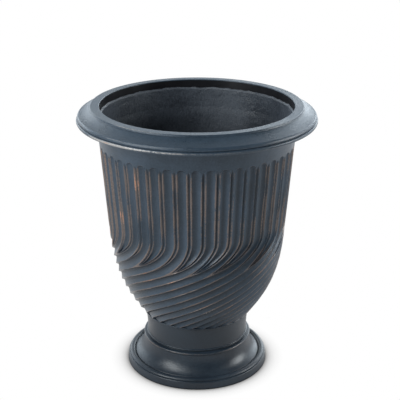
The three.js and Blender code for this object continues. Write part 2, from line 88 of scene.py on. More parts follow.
class Draft:
    """Points, faces and marks of one mesh, gathered sheet by sheet."""

    def __init__(self) -> None:
        """Starts with nothing."""
        self.points: list[np.ndarray] = []
        self.faces: list[tuple[int, ...]] = []
        self.marks: dict[str, list[np.ndarray]] = {}
        self.count = 0

    def add(self, points: np.ndarray, marks: dict[str, np.ndarray | float]) -> np.ndarray:
        """Adds a grid of points.

        Args:
            points: rows x columns x 3, in metres.
            marks: numbers for each point, or one number for all, by name.

        Returns:
            The points' indices, rows x columns.
        """
        shape = points.shape[:2]
        size = shape[0] * shape[1]
        for name in set(self.marks) | set(marks):
            kept = self.marks.setdefault(name, [np.zeros(self.count)])
            kept.append(np.broadcast_to(marks.get(name, 0.0), shape).reshape(size).astype(float))
        self.points.append(points.reshape(size, 3))
        indices = np.arange(self.count, self.count + size).reshape(shape)
        self.count += size
        return indices

    def skin(self, rows: np.ndarray, close: bool = False) -> None:
        """Lays four-sided faces between neighbouring rows, all the way round.

        Args:
            rows: indices, rows x columns, with rows running upwards on an outer side.
            close: whether the last row joins the first.
        """
        if close:
            rows = np.vstack([rows, rows[:1]])
        beside = np.roll(rows, -1, axis=1)
        quads = np.stack([rows[:-1], beside[:-1], beside[1:], rows[1:]], axis=-1).reshape(-1, 4)
        self.faces.extend(map(tuple, quads.tolist()))

    def stitch(self, outer: np.ndarray, outer_angles: np.ndarray, inner: np.ndarray,
               inner_angles: np.ndarray, upwards: bool) -> None:
        """Fills the flat ring between two rings of different numbers of points.

        Args:
            outer: indices of the outer ring.
            outer_angles: their angles, rising over one turn.
            inner: indices of the inner ring.
            inner_angles: their angles, rising over one turn.
            upwards: whether the faces look up.
        """
        turned = np.angle(np.exp(1j * (inner_angles - outer_angles[0])))
        first = int(np.argmin(np.abs(turned)))
        inner = np.roll(inner, -first)
        inner_steps = np.unwrap(np.roll(turned, -first)) + outer_angles[0]
        outer_ends = np.append(outer_angles[1:], outer_angles[0] + FULL_TURN)
        inner_ends = np.append(inner_steps[1:], inner_steps[0] + FULL_TURN)
        i = j = 0
        while i < len(outer) or j < len(inner):
            here, there = outer[i % len(outer)], inner[j % len(inner)]
            if j == len(inner) or (i < len(outer) and outer_ends[i] <= inner_ends[j]):
                i += 1
                face = (here, outer[i % len(outer)], there)
            else:
                j += 1
                face = (here, inner[j % len(inner)], there)
            self.faces.append(tuple(int(k) for k in (face if upwards else face[::-1])))

    def cap(self, ring: np.ndarray, height: float, upwards: bool) -> None:
        """Closes a ring onto a new point on the axis.

        Args:
            ring: indices of the ring.
            height: of the new point, in metres.
            upwards: whether the faces look up.
        """
        centre = int(self.add(np.array([[[0.0, 0.0, height]]]), {})[0, 0])
        for a, b in zip(ring.tolist(), np.roll(ring, -1).tolist()):
            self.faces.append((a, b, centre) if upwards else (b, a, centre))

    def build(self, name: str) -> bpy.types.Object:
        """Makes the mesh and its object, and links it to the scene.

        Args:
            name: of both.

        Returns:
            The object.
        """
        mesh = bpy.data.meshes.new(name)
        mesh.from_pydata(np.vstack(self.points).tolist(), [], self.faces)
        for mark, values in self.marks.items():
            layer = mesh.attributes.new(mark, "FLOAT", "POINT")
            layer.data.foreach_set("value", np.concatenate(values))
        mesh.shade_smooth()
        piece = bpy.data.objects.new(name, mesh)
        bpy.context.scene.collection.objects.link(piece)
        return piece


def on_round(radius: np.ndarray, angle: np.ndarray, height: np.ndarray) -> np.ndarray:
    """Points at radii, angles (0 at the front, rising towards +X) and heights, all in metres."""
    radius, angle, height = np.broadcast_arrays(radius, angle, height)
    return np.stack([radius * np.sin(angle), -radius * np.cos(angle), height], axis=-1)


def around(count: int) -> np.ndarray:
    """Evenly spaced angles over one turn."""
    return np.arange(count) * (FULL_TURN / count)


def lerp(a: float, b: float, t: float) -> float:
    """The number a share t of the way from a to b."""
    return a + (b - a) * t


def bezier(t: np.ndarray, *handles: Point) -> np.ndarray:
    """Points along a cubic curve.

    Args:
        t: shares of the way along it.
        handles: its start, its two handles and its end.

    Returns:
        Rows of radius and height.
    """
    a, b, c, d = (np.array(handle)[None, :] for handle in handles)
    t = np.asarray(t, float)[:, None]
    return a * (1 - t) ** 3 + 3 * b * t * (1 - t) ** 2 + 3 * c * t**2 * (1 - t) + d * t**3


@dataclass(frozen=True)
class Corner:
    """A corner of a turned outline, in millimetres."""

    r: float
    z: float
    rounding: float = 0.0   # how far from the corner its rounding starts
    edge: float = 0.0       # how much the paint is rubbed on it
    sunk: float = 0.0       # how much it is darkened, as soiling and painted shade


@dataclass(frozen=True)
class Profile:
    """A finished outline: stations with radius and height in metres, and their two marks."""

    radius: np.ndarray
    height: np.ndarray
    edge: np.ndarray
    sunk: np.ndarray

    def marks(self) -> dict[str, np.ndarray]:
        """The marks as columns for a draft."""
        return {Mark.EDGE.value: self.edge[:, None], Mark.GRIME_AND_PAINTED_SHADE.value: self.sunk[:, None]}


class Outline:
    """A turned outline, drawn corner by corner; an outer side runs upwards."""

    SUPPORT = 0.5         # how close to an arc a straight run has its own station, in millimetres
    SHORTEST_RUN = 4      # runs shorter than this many of those have none
    ARC_STEPS = 5         # stations round a corner
    MOST_OF_SIDE = 0.45   # part of a side that one rounding can take

    def __init__(self) -> None:
        """Starts with no corners."""
        self.corners: list[Corner] = []

    def corner(self, r: float, z: float, rounding: float = 0.4, edge: float = 0.0,
               sunk: float = 0.0) -> "Outline":
        """Adds a corner, with the fields of `Corner`."""
        self.corners.append(Corner(r, z, rounding, edge, sunk))
        return self

    def curve(self, steps: int, *handles: Point, sunk: float = 0.0) -> "Outline":
        """Adds a cubic curve without its two ends, which the neighbouring corners hold.

        Args:
            steps: facets along it.
            handles: its start, its two handles and its end.
            sunk: how much it is darkened, as soiling and painted shade.

        Returns:
            This outline.
        """
        for r, z in bezier(np.linspace(0, 1, steps + 1)[1:-1], *handles).tolist():
            self.corner(r, z, 0.0, sunk=sunk)
        return self

    def bead(self, start: Point, end: Point, bulge: float, edge: float, peak: float = 0.5,
             steps: int = 12, spread: float = 0.2) -> "Outline":
        """Adds a half-round bead.

        Args:
            start: where it starts.
            end: where it ends.
            bulge: how far it stands out, at right angles to the line from start to end.
            edge: how much the paint is rubbed at its most worn line.
            peak: place of that line, from 0 at the start to 1 at the end.
            steps: number of facets.
            spread: how far from that line the wear reaches, on the same scale.

        Returns:
            This outline.
        """
        run, rise = end[0] - start[0], end[1] - start[1]
        for i in range(steps + 1):
            t = (1 - math.cos(math.pi * i / steps)) / 2
            worn = edge * math.exp(-(((t - peak) / spread) ** 2))
            out = bulge * math.sin(math.pi * i / steps) / math.hypot(run, rise)
            self.corner(start[0] + run * t + out * rise, start[1] + rise * t - out * run, 0.0, worn)
        return self

    def profile(self, closed: bool = True) -> Profile:
        """Rounds the corners and puts stations close to both ends of every straight run.

        Args:
            closed: whether the outline joins up with itself.

        Returns:
            The finished profile.
        """
        rows: list[Station] = []
        count = len(self.corners)
        for i, corner in enumerate(self.corners):
            if corner.rounding <= 0 or (not closed and i in (0, count - 1)):
                rows.append((corner.r, corner.z, corner.edge, corner.sunk, False))
                continue
            rows.extend(self._arc(self.corners[i - 1], corner, self.corners[(i + 1) % count]))
        made = self._supported(rows, closed)
        table = np.array([row[:4] for row in made])
        return Profile(table[:, 0] * MM, table[:, 1] * MM, table[:, 2], table[:, 3])

    def _arc(self, before: Corner, corner: Corner, after: Corner) -> list[Station]:
        """Rounds one corner.

        Args:
            before: the corner before it.
            corner: the one to round.
            after: the corner after it.

        Returns:
            Stations round it, of which the first and the last are marked as ends of an arc.
        """
        here = np.array([corner.r, corner.z])
        sides = [np.array([other.r, other.z]) - here for other in (before, after)]
        ends = []
        for side in sides:
            length = float(np.hypot(*side))
            ends.append(here + side / length * min(corner.rounding, self.MOST_OF_SIDE * length))
        rows = []
        for t in np.linspace(0, 1, self.ARC_STEPS).tolist():
            at = ends[0] * (1 - t) ** 2 + 2 * here * t * (1 - t) + ends[1] * t**2
            share = 1 - (2 * t - 1) ** 2
            rows.append((at[0], at[1], corner.edge * share, corner.sunk * share, t in (0.0, 1.0)))
        return rows

    def _supported(self, rows: list[Station], closed: bool) -> list[Station]:
        """Adds stations next to the arcs, so that smooth shading leaves the runs between flat.

        Args:
            rows: the stations so far.
            closed: whether the last one joins the first.

        Returns:
            All stations in order.
        """
        made: list[Station] = []
        for i, row in enumerate(rows):
            made.append(row)
            after = rows[(i + 1) % len(rows)]
            length = math.hypot(after[0] - row[0], after[1] - row[1])
            if length < self.SHORTEST_RUN * self.SUPPORT or (not closed and i == len(rows) - 1):
                continue
            share = self.SUPPORT / length
            for t, wanted in ((share, row[4]), (1 - share, after[4])):
                if wanted:
                    made.append((lerp(row[0], after[0], t), lerp(row[1], after[1], t), 0.0, 0.0, False))
        return made


@dataclass(frozen=True)
class Waver:
    """Slight unevenness of a hand-finished round piece: a few slow waves round it, in millimetres."""

    size: float
    seed: int

    WAVES = (2, 3, 5, 9)   # how many of each wave go round
    MOST_LEAN = 12.0       # most that a wave turns on its way up, in radians for each metre

    def at(self, angles: np.ndarray, heights: np.ndarray) -> np.ndarray:
        """How far the surface stands out.

        Args:
            angles: round the piece.
            heights: up the piece, in metres.

        Returns:
            The distance at each angle and height, in metres.
        """
        draw = np.random.default_rng(self.seed)
        total = np.zeros(np.broadcast(angles, heights).shape)
        for waves in self.WAVES:
            phase = draw.uniform(0, FULL_TURN)
            lean = draw.uniform(-self.MOST_LEAN, self.MOST_LEAN)
            total = total + np.sin(waves * angles + lean * heights + phase) / waves
        return total * self.size * MM


@dataclass(frozen=True)
class WearAndHighlight:
    """Where round a piece its edges are rubbed most and carry the most painted highlight."""

    middle: float        # angle of the most worn and brightest place, in degrees
    spread: float        # angle from there at which little of the extra wear is left
    least: float = 1.0   # wear all round
    extra: float = 0.0   # what that place has over that, as wear and painted highlight

    def at(self, angles: np.ndarray) -> np.ndarray:
        """Wear and painted highlight at each angle, as a factor on the edge marks."""
        beside = np.angle(np.exp(1j * (angles - math.radians(self.middle))))
        return self.least + self.extra * np.exp(-((beside / math.radians(self.spread)) ** 2))


def turn(name: str, profile: Profile, segments: int, waver: Waver | None = None,
         closed: bool = True, wear_and_highlight: WearAndHighlight | None = None) -> bpy.types.Object:
    """Turns a profile round the axis.

    Args:
        name: of the piece.
        profile: what to turn.
        segments: facets round the piece.
        waver: unevenness of its surface.
        closed: whether it is a ring; if not, its two ends are capped on the axis.
        wear_and_highlight: where its edges are rubbed most and carry a painted highlight.

    Returns:
        The new object.
    """
    angles = around(segments)[None, :]
    radius, height = profile.radius[:, None], profile.height[:, None]
    if waver is not None:
        radius = radius + waver.at(angles, height)
    marks = profile.marks()
    if wear_and_highlight is not None:
        marks[Mark.EDGE.value] = marks[Mark.EDGE.value] * wear_and_highlight.at(angles)
    draft = Draft()
    rows = draft.add(on_round(radius, angles, height), marks)
    draft.skin(rows, close=closed)
    if not closed:
        draft.cap(rows[0], float(profile.height[0]), upwards=False)
        draft.cap(rows[-1], float(profile.height[-1]), upwards=True)
    return draft.build(name)


# ---------------------------------------------------------------------------- node trees


class Field:
    """A number that a node tree works out. Python's arithmetic on it makes Math nodes."""

    def __init__(self, maker: "TreeMaker", socket: bpy.types.NodeSocket) -> None:
        """Wraps an output socket."""
        self.maker = maker
        self.socket = socket

    def _math(self, operation: str, *operands: "Field | float") -> "Field":
        """What a Math node makes of some numbers."""
        node = self.maker.node("ShaderNodeMath", dict(enumerate(operands)), operation=operation)
        return Field(self.maker, node.outputs[0])

    def __add__(self, other: "Field | float") -> "Field":
        """Sum."""
        return self._math("ADD", self, other)

    def __sub__(self, other: "Field | float") -> "Field":
        """Difference."""
        return self._math("SUBTRACT", self, other)

    def __mul__(self, other: "Field | float") -> "Field":
        """Product."""
        return self._math("MULTIPLY", self, other)

    def __truediv__(self, other: "Field | float") -> "Field":
        """Quotient."""
        return self._math("DIVIDE", self, other)

    def __rsub__(self, other: float) -> "Field":
        """Difference from a plain number."""
        return self._math("SUBTRACT", other, self)

    def __rtruediv__(self, other: float) -> "Field":
        """Quotient of a plain number and this."""
        return self._math("DIVIDE", other, self)

    __radd__ = __add__
    __rmul__ = __mul__

    def least(self, other: "Field | float") -> "Field":
        """The smaller of two numbers."""
        return self._math("MINIMUM", self, other)

    def most(self, other: "Field | float") -> "Field":
        """The larger of two numbers."""
        return self._math("MAXIMUM", self, other)

    def power(self, other: float) -> "Field":
        """This number raised to a power."""
        return self._math("POWER", self, other)

    def over(self, other: "Field | float") -> "Field":
        """1 where this is over the other number, and 0 elsewhere."""
        return self._math("GREATER_THAN", self, other)

    def sine(self) -> "Field":
        """Sine of an angle."""
        return self._math("SINE", self)

    def cosine(self) -> "Field":
        """Cosine of an angle."""
        return self._math("COSINE", self)

    def to(self, other: "Field | float", share: "Field | float") -> "Field":
        """The number a share of the way from this to the other."""
        return self + (other - self) * share

    def eased(self, low: "Field | float", high: "Field | float") -> "Field":
        """Goes smoothly from 0 where this is `low` to 1 where it is `high`; either may be larger."""
        return self._mapped(low, high, "SMOOTHSTEP")

    def scaled(self, low: "Field | float", high: "Field | float") -> "Field":
        """Goes evenly from 0 where this is `low` to 1 where it is `high`, and stays there."""
        return self._mapped(low, high, "LINEAR")

    def _mapped(self, low: "Field | float", high: "Field | float", kind: str) -> "Field":
        """Goes from 0 to 1 between two numbers, and stays there beyond them.

        Args:
            low: where it is 0.
            high: where it is 1.
            kind: of the Map Range node's interpolation.

        Returns:
            The new field.
        """
        inputs = {"Value": self, "From Min": low, "From Max": high}
        node = self.maker.node("ShaderNodeMapRange", inputs, interpolation_type=kind)
        return Field(self.maker, node.outputs["Result"])


class TreeMaker:
    """Adds nodes to a tree and links them up."""

    def __init__(self, tree: bpy.types.NodeTree) -> None:
        """Starts on a tree.

        Args:
            tree: an empty tree.
        """
        self.tree = tree
        self._entry: bpy.types.Node | None = None
        self._exit: bpy.types.Node | None = None

    @classmethod
    def group(cls, name: str, kind: str) -> "TreeMaker":
        """Starts a node group of this kind of tree."""
        return cls(bpy.data.node_groups.new(name, kind))

    def node(self, kind: str, inputs: dict | None = None, **settings: object) -> bpy.types.Node:
        """Adds a node.

        Args:
            kind: its type.
            inputs: what goes into its sockets, by name or by place: fields, sockets or values.
            settings: its own properties.

        Returns:
            The node.
        """
        made = self.tree.nodes.new(kind)
        for name, value in settings.items():
            setattr(made, name, value)
        for key, value in (inputs or {}).items():
            self.feed(made.inputs[key], value)
        return made

    def feed(self, socket: bpy.types.NodeSocket, value: object) -> None:
        """Links an input up, or sets it.

        Args:
            socket: the input.
            value: a field or socket to link it to, or a plain value.
        """
        if isinstance(value, Field):
            value = value.socket
        if isinstance(value, bpy.types.NodeSocket):
            self.tree.links.new(value, socket)
        else:
            socket.default_value = value

    def input(self, name: str, kind: str = "NodeSocketFloat", value: object = None) -> Field:
        """Adds a named input to the tree.

        Args:
            name: of the input.
            kind: of its socket.
            value: for where nothing is given.

        Returns:
            The input as a field.
        """
        item = self.tree.interface.new_socket(name, in_out="INPUT", socket_type=kind)
        if value is not None:
            item.default_value = value
        if self._entry is None:
            self._entry = self.tree.nodes.new("NodeGroupInput")
        return Field(self, self._entry.outputs[name])

    def output(self, name: str, kind: str, value: object) -> None:
        """Adds a named output to the tree and feeds it.

        Args:
            name: of the output.
            kind: of its socket.
            value: what feeds it.
        """
        self.tree.interface.new_socket(name, in_out="OUTPUT", socket_type=kind)
        if self._exit is None:
            self._exit = self.tree.nodes.new("NodeGroupOutput")
        self.feed(self._exit.inputs[name], value)

    def noise(self, place: object, scale: object, detail: float = 2.0, seed: object = 0.0,
              rough: float = 0.5) -> Field:
        """Noise round 0.5 at a place.

        Args:
            place: vector socket, or None for the point itself.
            scale: lumps in a metre.
            detail: octaves of finer noise.
            seed: picks another run of the same noise.
            rough: weight of the finer noise.

        Returns:
            The noise as a field.
        """
        inputs = {"Scale": scale, "Detail": detail, "Roughness": rough, "W": seed}
        if place is not None:
            inputs["Vector"] = place
        return Field(self, self.node("ShaderNodeTexNoise", inputs, noise_dimensions="4D").outputs[0])

    def point_value(self, name: str) -> Field:
        """A number kept at the points of the mesh, in a geometry tree."""
        made = self.node("GeometryNodeInputNamedAttribute", {"Name": name}, data_type="FLOAT")
        return Field(self, made.outputs[0])

    def vector(self, x: object, y: object, z: object) -> bpy.types.NodeSocket:
        """A vector from three numbers."""
        return self.node("ShaderNodeCombineXYZ", {0: x, 1: y, 2: z}).outputs[0]


def apply_tree(piece: bpy.types.Object, tree: bpy.types.NodeTree, values: dict[str, object]) -> None:
    """Runs a geometry tree on a piece once and keeps the result as its mesh.

    Args:
        piece: the object whose mesh goes in.
        tree: what to run.
        values: the tree's inputs, by name.
    """
    modifier = piece.modifiers.new(tree.name, "NODES")
    modifier.node_group = tree
    sockets = {item.name: item.identifier for item in tree.interface.items_tree
               if item.item_type == "SOCKET" and item.in_out == "INPUT"}
    for name, value in values.items():
        modifier[sockets[name]] = value
    graph = bpy.context.evaluated_depsgraph_get()
    made = bpy.data.meshes.new_from_object(
        piece.evaluated_get(graph), preserve_all_data_layers=True, depsgraph=graph)
    piece.modifiers.clear()
    kept = {mark.value for mark in Mark}
    helpers = [layer.name for layer in made.attributes
               if layer.data_type == "FLOAT" and layer.name not in kept]
    for name in helpers:
        made.attributes.remove(made.attributes[name])
    old = piece.data
    piece.data = made
    bpy.data.meshes.remove(old)
    made.name = piece.name


def close_tree(maker: TreeMaker, geometry: object, finishes: Sequence[tuple[object, object]]) -> None:
    """Ends a geometry tree with Realize Instances and Set Material.

    Args:
        maker: of the tree.
        geometry: what the tree has made.
        finishes: pairs of a material and the faces it goes on, or None for all faces.
    """
    last = maker.node("GeometryNodeRealizeInstances", {"Geometry": geometry}).outputs[0]
    for material, selection in finishes:
        inputs = {"Geometry": last, "Material": material}
        if selection is not None:
            inputs["Selection"] = selection
        last = maker.node("GeometryNodeSetMaterial", inputs).outputs[0]
    maker.output("Geometry", "NodeSocketGeometry", last)


# ---------------------------------------------------------------------------- finishes


def rub_group() -> bpy.types.NodeTree:
    """Shader group: how far the paint is rubbed through along marked edges.

    Returns:
        The group, which gives the rub and, where hands polish most, the bare metal.
    """
    patch_seed, speck_seed = 1.7, 4.1
    least_reach, patch_reach = 0.25, 1.3    # of the rub, outside the patches and added in them
    broken_rub, broken_bare = 2.6, 0.9      # how much the specks break up the rub and the bare metal
    maker = TreeMaker.group("hand rub", "ShaderNodeTree")
    place = maker.input("Place", "NodeSocketVector")
    edge = maker.input("Edge")
    amount = maker.input("Amount", value=1.0)
    patch = maker.input("Patches", value=14.0)
    speck = maker.input("Specks", value=300.0)
    patches = maker.noise(place.socket, patch, 2.0, patch_seed)
    specks = maker.noise(place.socket, speck, 2.0, speck_seed)
    reach = edge * amount * (patches.eased(0.3, 0.7) * patch_reach + least_reach)
    worn = reach + (specks - 0.5) * broken_rub * edge.least(1.0)
    rub = worn.eased(0.25, 1.0)
    polished = edge.least(1.0) * amount * patches.eased(0.55, 0.72)
    bare = (polished + (specks - 0.5) * broken_bare).eased(0.55, 1.1)
    maker.output("Rub", "NodeSocketFloat", rub)
    maker.output("Bare", "NodeSocketFloat", bare * rub)
    return maker.tree


def mottle_group() -> bpy.types.NodeTree:
    """Shader group: slow and fine variation of a colour between a dark and a light shade.

    Returns:
        The group, which gives the colour and the light shade's share in it.
    """
    slow_seed, fine_seed = 0.6, 2.9
    slow_share, fine_share = 0.55, 0.45
    fineness = 32.0   # fine spots for each slow one
    maker = TreeMaker.group("mottle", "ShaderNodeTree")
    place = maker.input("Place", "NodeSocketVector")
    dark = maker.input("Dark", "NodeSocketColor", (0.0, 0.0, 0.0, 1.0))
    light = maker.input("Light", "NodeSocketColor", (1.0, 1.0, 1.0, 1.0))
    size = maker.input("Size", value=12.0)
    slow = maker.noise(place.socket, size, 4.0, slow_seed)
    fine = maker.noise(place.socket, size * fineness, 3.0, fine_seed, 0.7)
    share = (slow * slow_share + fine * fine_share).eased(0.36, 0.64)
    mixed = maker.node("ShaderNodeMix", {0: share, 6: dark, 7: light}, data_type="RGBA")
    maker.output("Colour", "NodeSocketColor", mixed.outputs[2])
    maker.output("Share", "NodeSocketFloat", share)
    return maker.tree


def grain_group() -> bpy.types.NodeTree:
    """Shader group: height of the fine grain of a sprayed, brushed or laid-up surface.

    Returns:
        The group.
    """
    fine_seed, broad_seed = 5.2, 7.7
    broadness = 0.16   # broad lumps for each fine one
    maker = TreeMaker.group("grain", "ShaderNodeTree")
    place = maker.input("Place", "NodeSocketVector")
    size = maker.input("Size", value=700.0)
    lumps = maker.input("Lumps", value=0.5)
    fine = maker.noise(place.socket, size, 3.0, fine_seed, 0.6)
    broad = maker.noise(place.socket, size * broadness, 3.0, broad_seed)
    maker.output("Height", "NodeSocketFloat", fine * (1.0 - lumps) + broad * lumps)
    return maker.tree


class Groups:
    """The shader groups that the finishes share."""

    def __init__(self) -> None:
        """Builds each group once."""
        self.rub = rub_group()
        self.mottle = mottle_group()
        self.grain = grain_group()


def with_alpha(colour: Colour) -> tuple[float, float, float, float]:
    """A linear colour with full alpha."""
    return (*colour, 1.0)


@dataclass(frozen=True)
class Shading:
    """A material in the making, which its finish dresses."""

    maker: TreeMaker
    groups: Groups
    place: bpy.types.NodeSocket    # of a point on the piece
    colour: bpy.types.NodeSocket   # mottled between the finish's two shades
    rough: Field
    grain: Field
    surface: bpy.types.Node

    def mark(self, mark: Mark) -> Field:
        """A mark of the mesh."""
        settings = {"attribute_name": mark.value, "attribute_type": "GEOMETRY"}
        return Field(self.maker, self.maker.node("ShaderNodeAttribute", **settings).outputs["Fac"])

    def over(self, share: Field, below: bpy.types.NodeSocket, shade: Colour) -> bpy.types.NodeSocket:
        """A shade over the colour below it, by its share."""
        inputs = {0: share, 6: below, 7: with_alpha(shade)}
        return self.maker.node("ShaderNodeMix", inputs, data_type="RGBA").outputs[2]

    def feed(self, name: str, value: object) -> None:
        """Feeds an input of the surface."""
        self.maker.feed(self.surface.inputs[name], value)

    def bump(self, height: Field, distance: float) -> None:
        """Raises the surface by a height that counts in this distance, in metres."""
        made = self.maker.node("ShaderNodeBump", {"Height": height, "Distance": distance})
        self.feed("Normal", made.outputs["Normal"])


@dataclass(frozen=True)
class Finish:
    """What every finish of the planter has: two shades, a gloss and a grain."""

    name: str
    dark: Colour
    light: Colour
    mottle_size: float = 12.0
    roughness: float = 0.5
    roughness_swing: float = 0.1
    reflectance: float = 0.5
    grain_size: float = 700.0
    grain_lumps: float = 0.5
    grain_height: float = 0.25

    def material(self, groups: Groups) -> bpy.types.Material:
        """Builds the material from the shared groups.

        Args:
            groups: the shared groups.

        Returns:
            The material.
        """
        material = bpy.data.materials.new(self.name)
        material.use_nodes = True
        material.node_tree.nodes.clear()
        maker = TreeMaker(material.node_tree)
        place = maker.node("ShaderNodeTexCoord").outputs["Object"]
        mottle = maker.node("ShaderNodeGroup", {
            "Place": place, "Dark": with_alpha(self.dark), "Light": with_alpha(self.light),
            "Size": self.mottle_size}, node_tree=groups.mottle)
        grain = maker.node("ShaderNodeGroup", {
            "Place": place, "Size": self.grain_size, "Lumps": self.grain_lumps}, node_tree=groups.grain)
        surface = maker.node("ShaderNodeBsdfPrincipled", {"Specular IOR Level": self.reflectance})
        share = Field(maker, mottle.outputs["Share"])
        rough = share * self.roughness_swing + (self.roughness - self.roughness_swing / 2)
        work = Shading(maker, groups, place, mottle.outputs["Colour"], rough,
                       Field(maker, grain.outputs["Height"]), surface)
        self.dress(work)
        self.relief(work)
        maker.node("ShaderNodeOutputMaterial", {"Surface": surface.outputs[0]})
        return material

    def dress(self, work: Shading) -> None:
        """Feeds colour and roughness. A finish with more to it does this its own way."""
        work.feed("Base Color", work.colour)
        work.feed("Roughness", work.rough)

    def relief(self, work: Shading) -> None:
        """Feeds the grain to the surface as a bump."""
        work.bump(work.grain, self.grain_height * MM)


@dataclass(frozen=True)
class RubbedPaint(Finish):
    """Slate paint over a bronze ground, rubbed through on the edges and darker in the recesses."""

    # Colour of the rubbed edges; the rim sets it pale grey, as a painted highlight.
    bronze: Colour = (0.124, 0.098, 0.088)
    bare: Colour = (0.42, 0.22, 0.14)
    # Near-black of the recesses: soiling, and painted shade where shade falls in them.
    grime_and_shade_colour: Colour = (0.006, 0.007, 0.009)
    rub_amount: float = 1.4
    grime_and_shade_amount: float = 0.85
    bronze_metallic: float = 0.2
    worn_smoothing: float = 0.08
    grime_dulling: float = 0.12

    def dress(self, work: Shading) -> None:
        """Feeds colour, roughness and metal from the edge mark and the mark of soiling and painted shade.

        Args:
            work: the material in the making.
        """
        rub = work.maker.node("ShaderNodeGroup", {
            "Place": work.place, "Edge": work.mark(Mark.EDGE), "Amount": self.rub_amount},
            node_tree=work.groups.rub)
        worn, bare = Field(work.maker, rub.outputs["Rub"]), Field(work.maker, rub.outputs["Bare"])
        sunk = work.mark(Mark.GRIME_AND_PAINTED_SHADE)
        mixed = work.colour
        layers = ((sunk * self.grime_and_shade_amount, self.grime_and_shade_colour), (worn, self.bronze), (bare, self.bare))
        for share, shade in layers:
            mixed = work.over(share, mixed, shade)
        work.feed("Base Color", mixed)
        work.feed("Roughness", work.rough - worn * self.worn_smoothing + sunk * self.grime_dulling)
        work.feed("Metallic", worn * self.bronze_metallic)


@dataclass(frozen=True)
class LaidUpResin(Finish):
    """Glass mat and resin as the hand roller left it, painted charcoal."""

    fibre_size: float = 260.0
    fibre_height: float = 1.3
    fibre_stretch: float = 0.35   # how close they are up the wall, as a part of that round it
    # Near-black towards the bottom of the bowl: painted shade.
    deep: Colour = (0.006, 0.006, 0.008)

    def dress(self, work: Shading) -> None:
        """Feeds colour and roughness; the darkening mark turns what lies deep in the bowl near-black, as
        painted shade.
        """
        work.feed("Base Color", work.over(work.mark(Mark.GRIME_AND_PAINTED_SHADE), work.colour, self.deep))
        work.feed("Roughness", work.rough)

    def relief(self, work: Shading) -> None:
        """Feeds the grain and the ends of the mat's fibres as a bump.

        Args:
            work: the material in the making.
        """
        seed = 3.3
        stretched = work.maker.node("ShaderNodeMapping", {
            "Vector": work.place, "Scale": (1.0, 1.0, self.fibre_stretch)}).outputs[0]
        fibres = work.maker.noise(stretched, self.fibre_size, 4.0, seed, 0.7)
        work.bump(work.grain * self.grain_height + fibres * self.fibre_height, MM)


class Finishes:
    """The planter's finishes as materials."""

    SLATE_DARK = (0.019, 0.032, 0.047)
    SLATE_LIGHT = (0.038, 0.057, 0.081)

    def __init__(self) -> None:
        """Builds the groups and the materials."""
        groups = Groups()
        self.paint = RubbedPaint(
            "rubbed slate paint", dark=self.SLATE_DARK, light=self.SLATE_LIGHT,
            roughness=0.35, roughness_swing=0.12, reflectance=0.34, grain_size=1200.0,
            grain_height=0.4).material(groups)
        # The rim's rubbed edges are pale grey: wear with a painted highlight on it, brightest on the bead
        # at the front left.
        self.rim_paint_with_highlight = RubbedPaint(
            "rim paint with painted highlight", dark=self.SLATE_DARK, light=self.SLATE_LIGHT,
            roughness=0.34, roughness_swing=0.16, reflectance=0.34, grain_size=1400.0,
            grain_height=0.6, bronze=(0.29, 0.275, 0.265)).material(groups)
        # The foot's slate is darker than the bowl's: the same paint, darkened as painted shade.
        self.foot_paint_in_painted_shade = RubbedPaint(
            "slate paint in painted shade", dark=(0.009, 0.014, 0.021), light=(0.020, 0.030, 0.042),
            roughness=0.37, roughness_swing=0.14, reflectance=0.35, grain_size=1400.0,
            grain_height=0.3, rub_amount=1.2).material(groups)
        self.black = Finish(
            "black inside paint", dark=(0.005, 0.005, 0.006), light=(0.010, 0.010, 0.012),
            mottle_size=18.0, roughness=0.34, reflectance=0.3, grain_height=0.2).material(groups)
        self.lay_up = LaidUpResin(
            "laid-up resin", dark=(0.021, 0.025, 0.032), light=(0.056, 0.066, 0.082),
            mottle_size=9.0, roughness=0.42, roughness_swing=0.25, grain_size=420.0,
            grain_height=1.6).material(groups)
        self.rubber = Finish(
            "black rubber", dark=(0.010, 0.010, 0.010), light=(0.018, 0.018, 0.018),
            mottle_size=40.0, roughness=0.72, grain_size=1500.0, grain_height=0.08).material(groups)


# ---------------------------------------------------------------------------- bowl


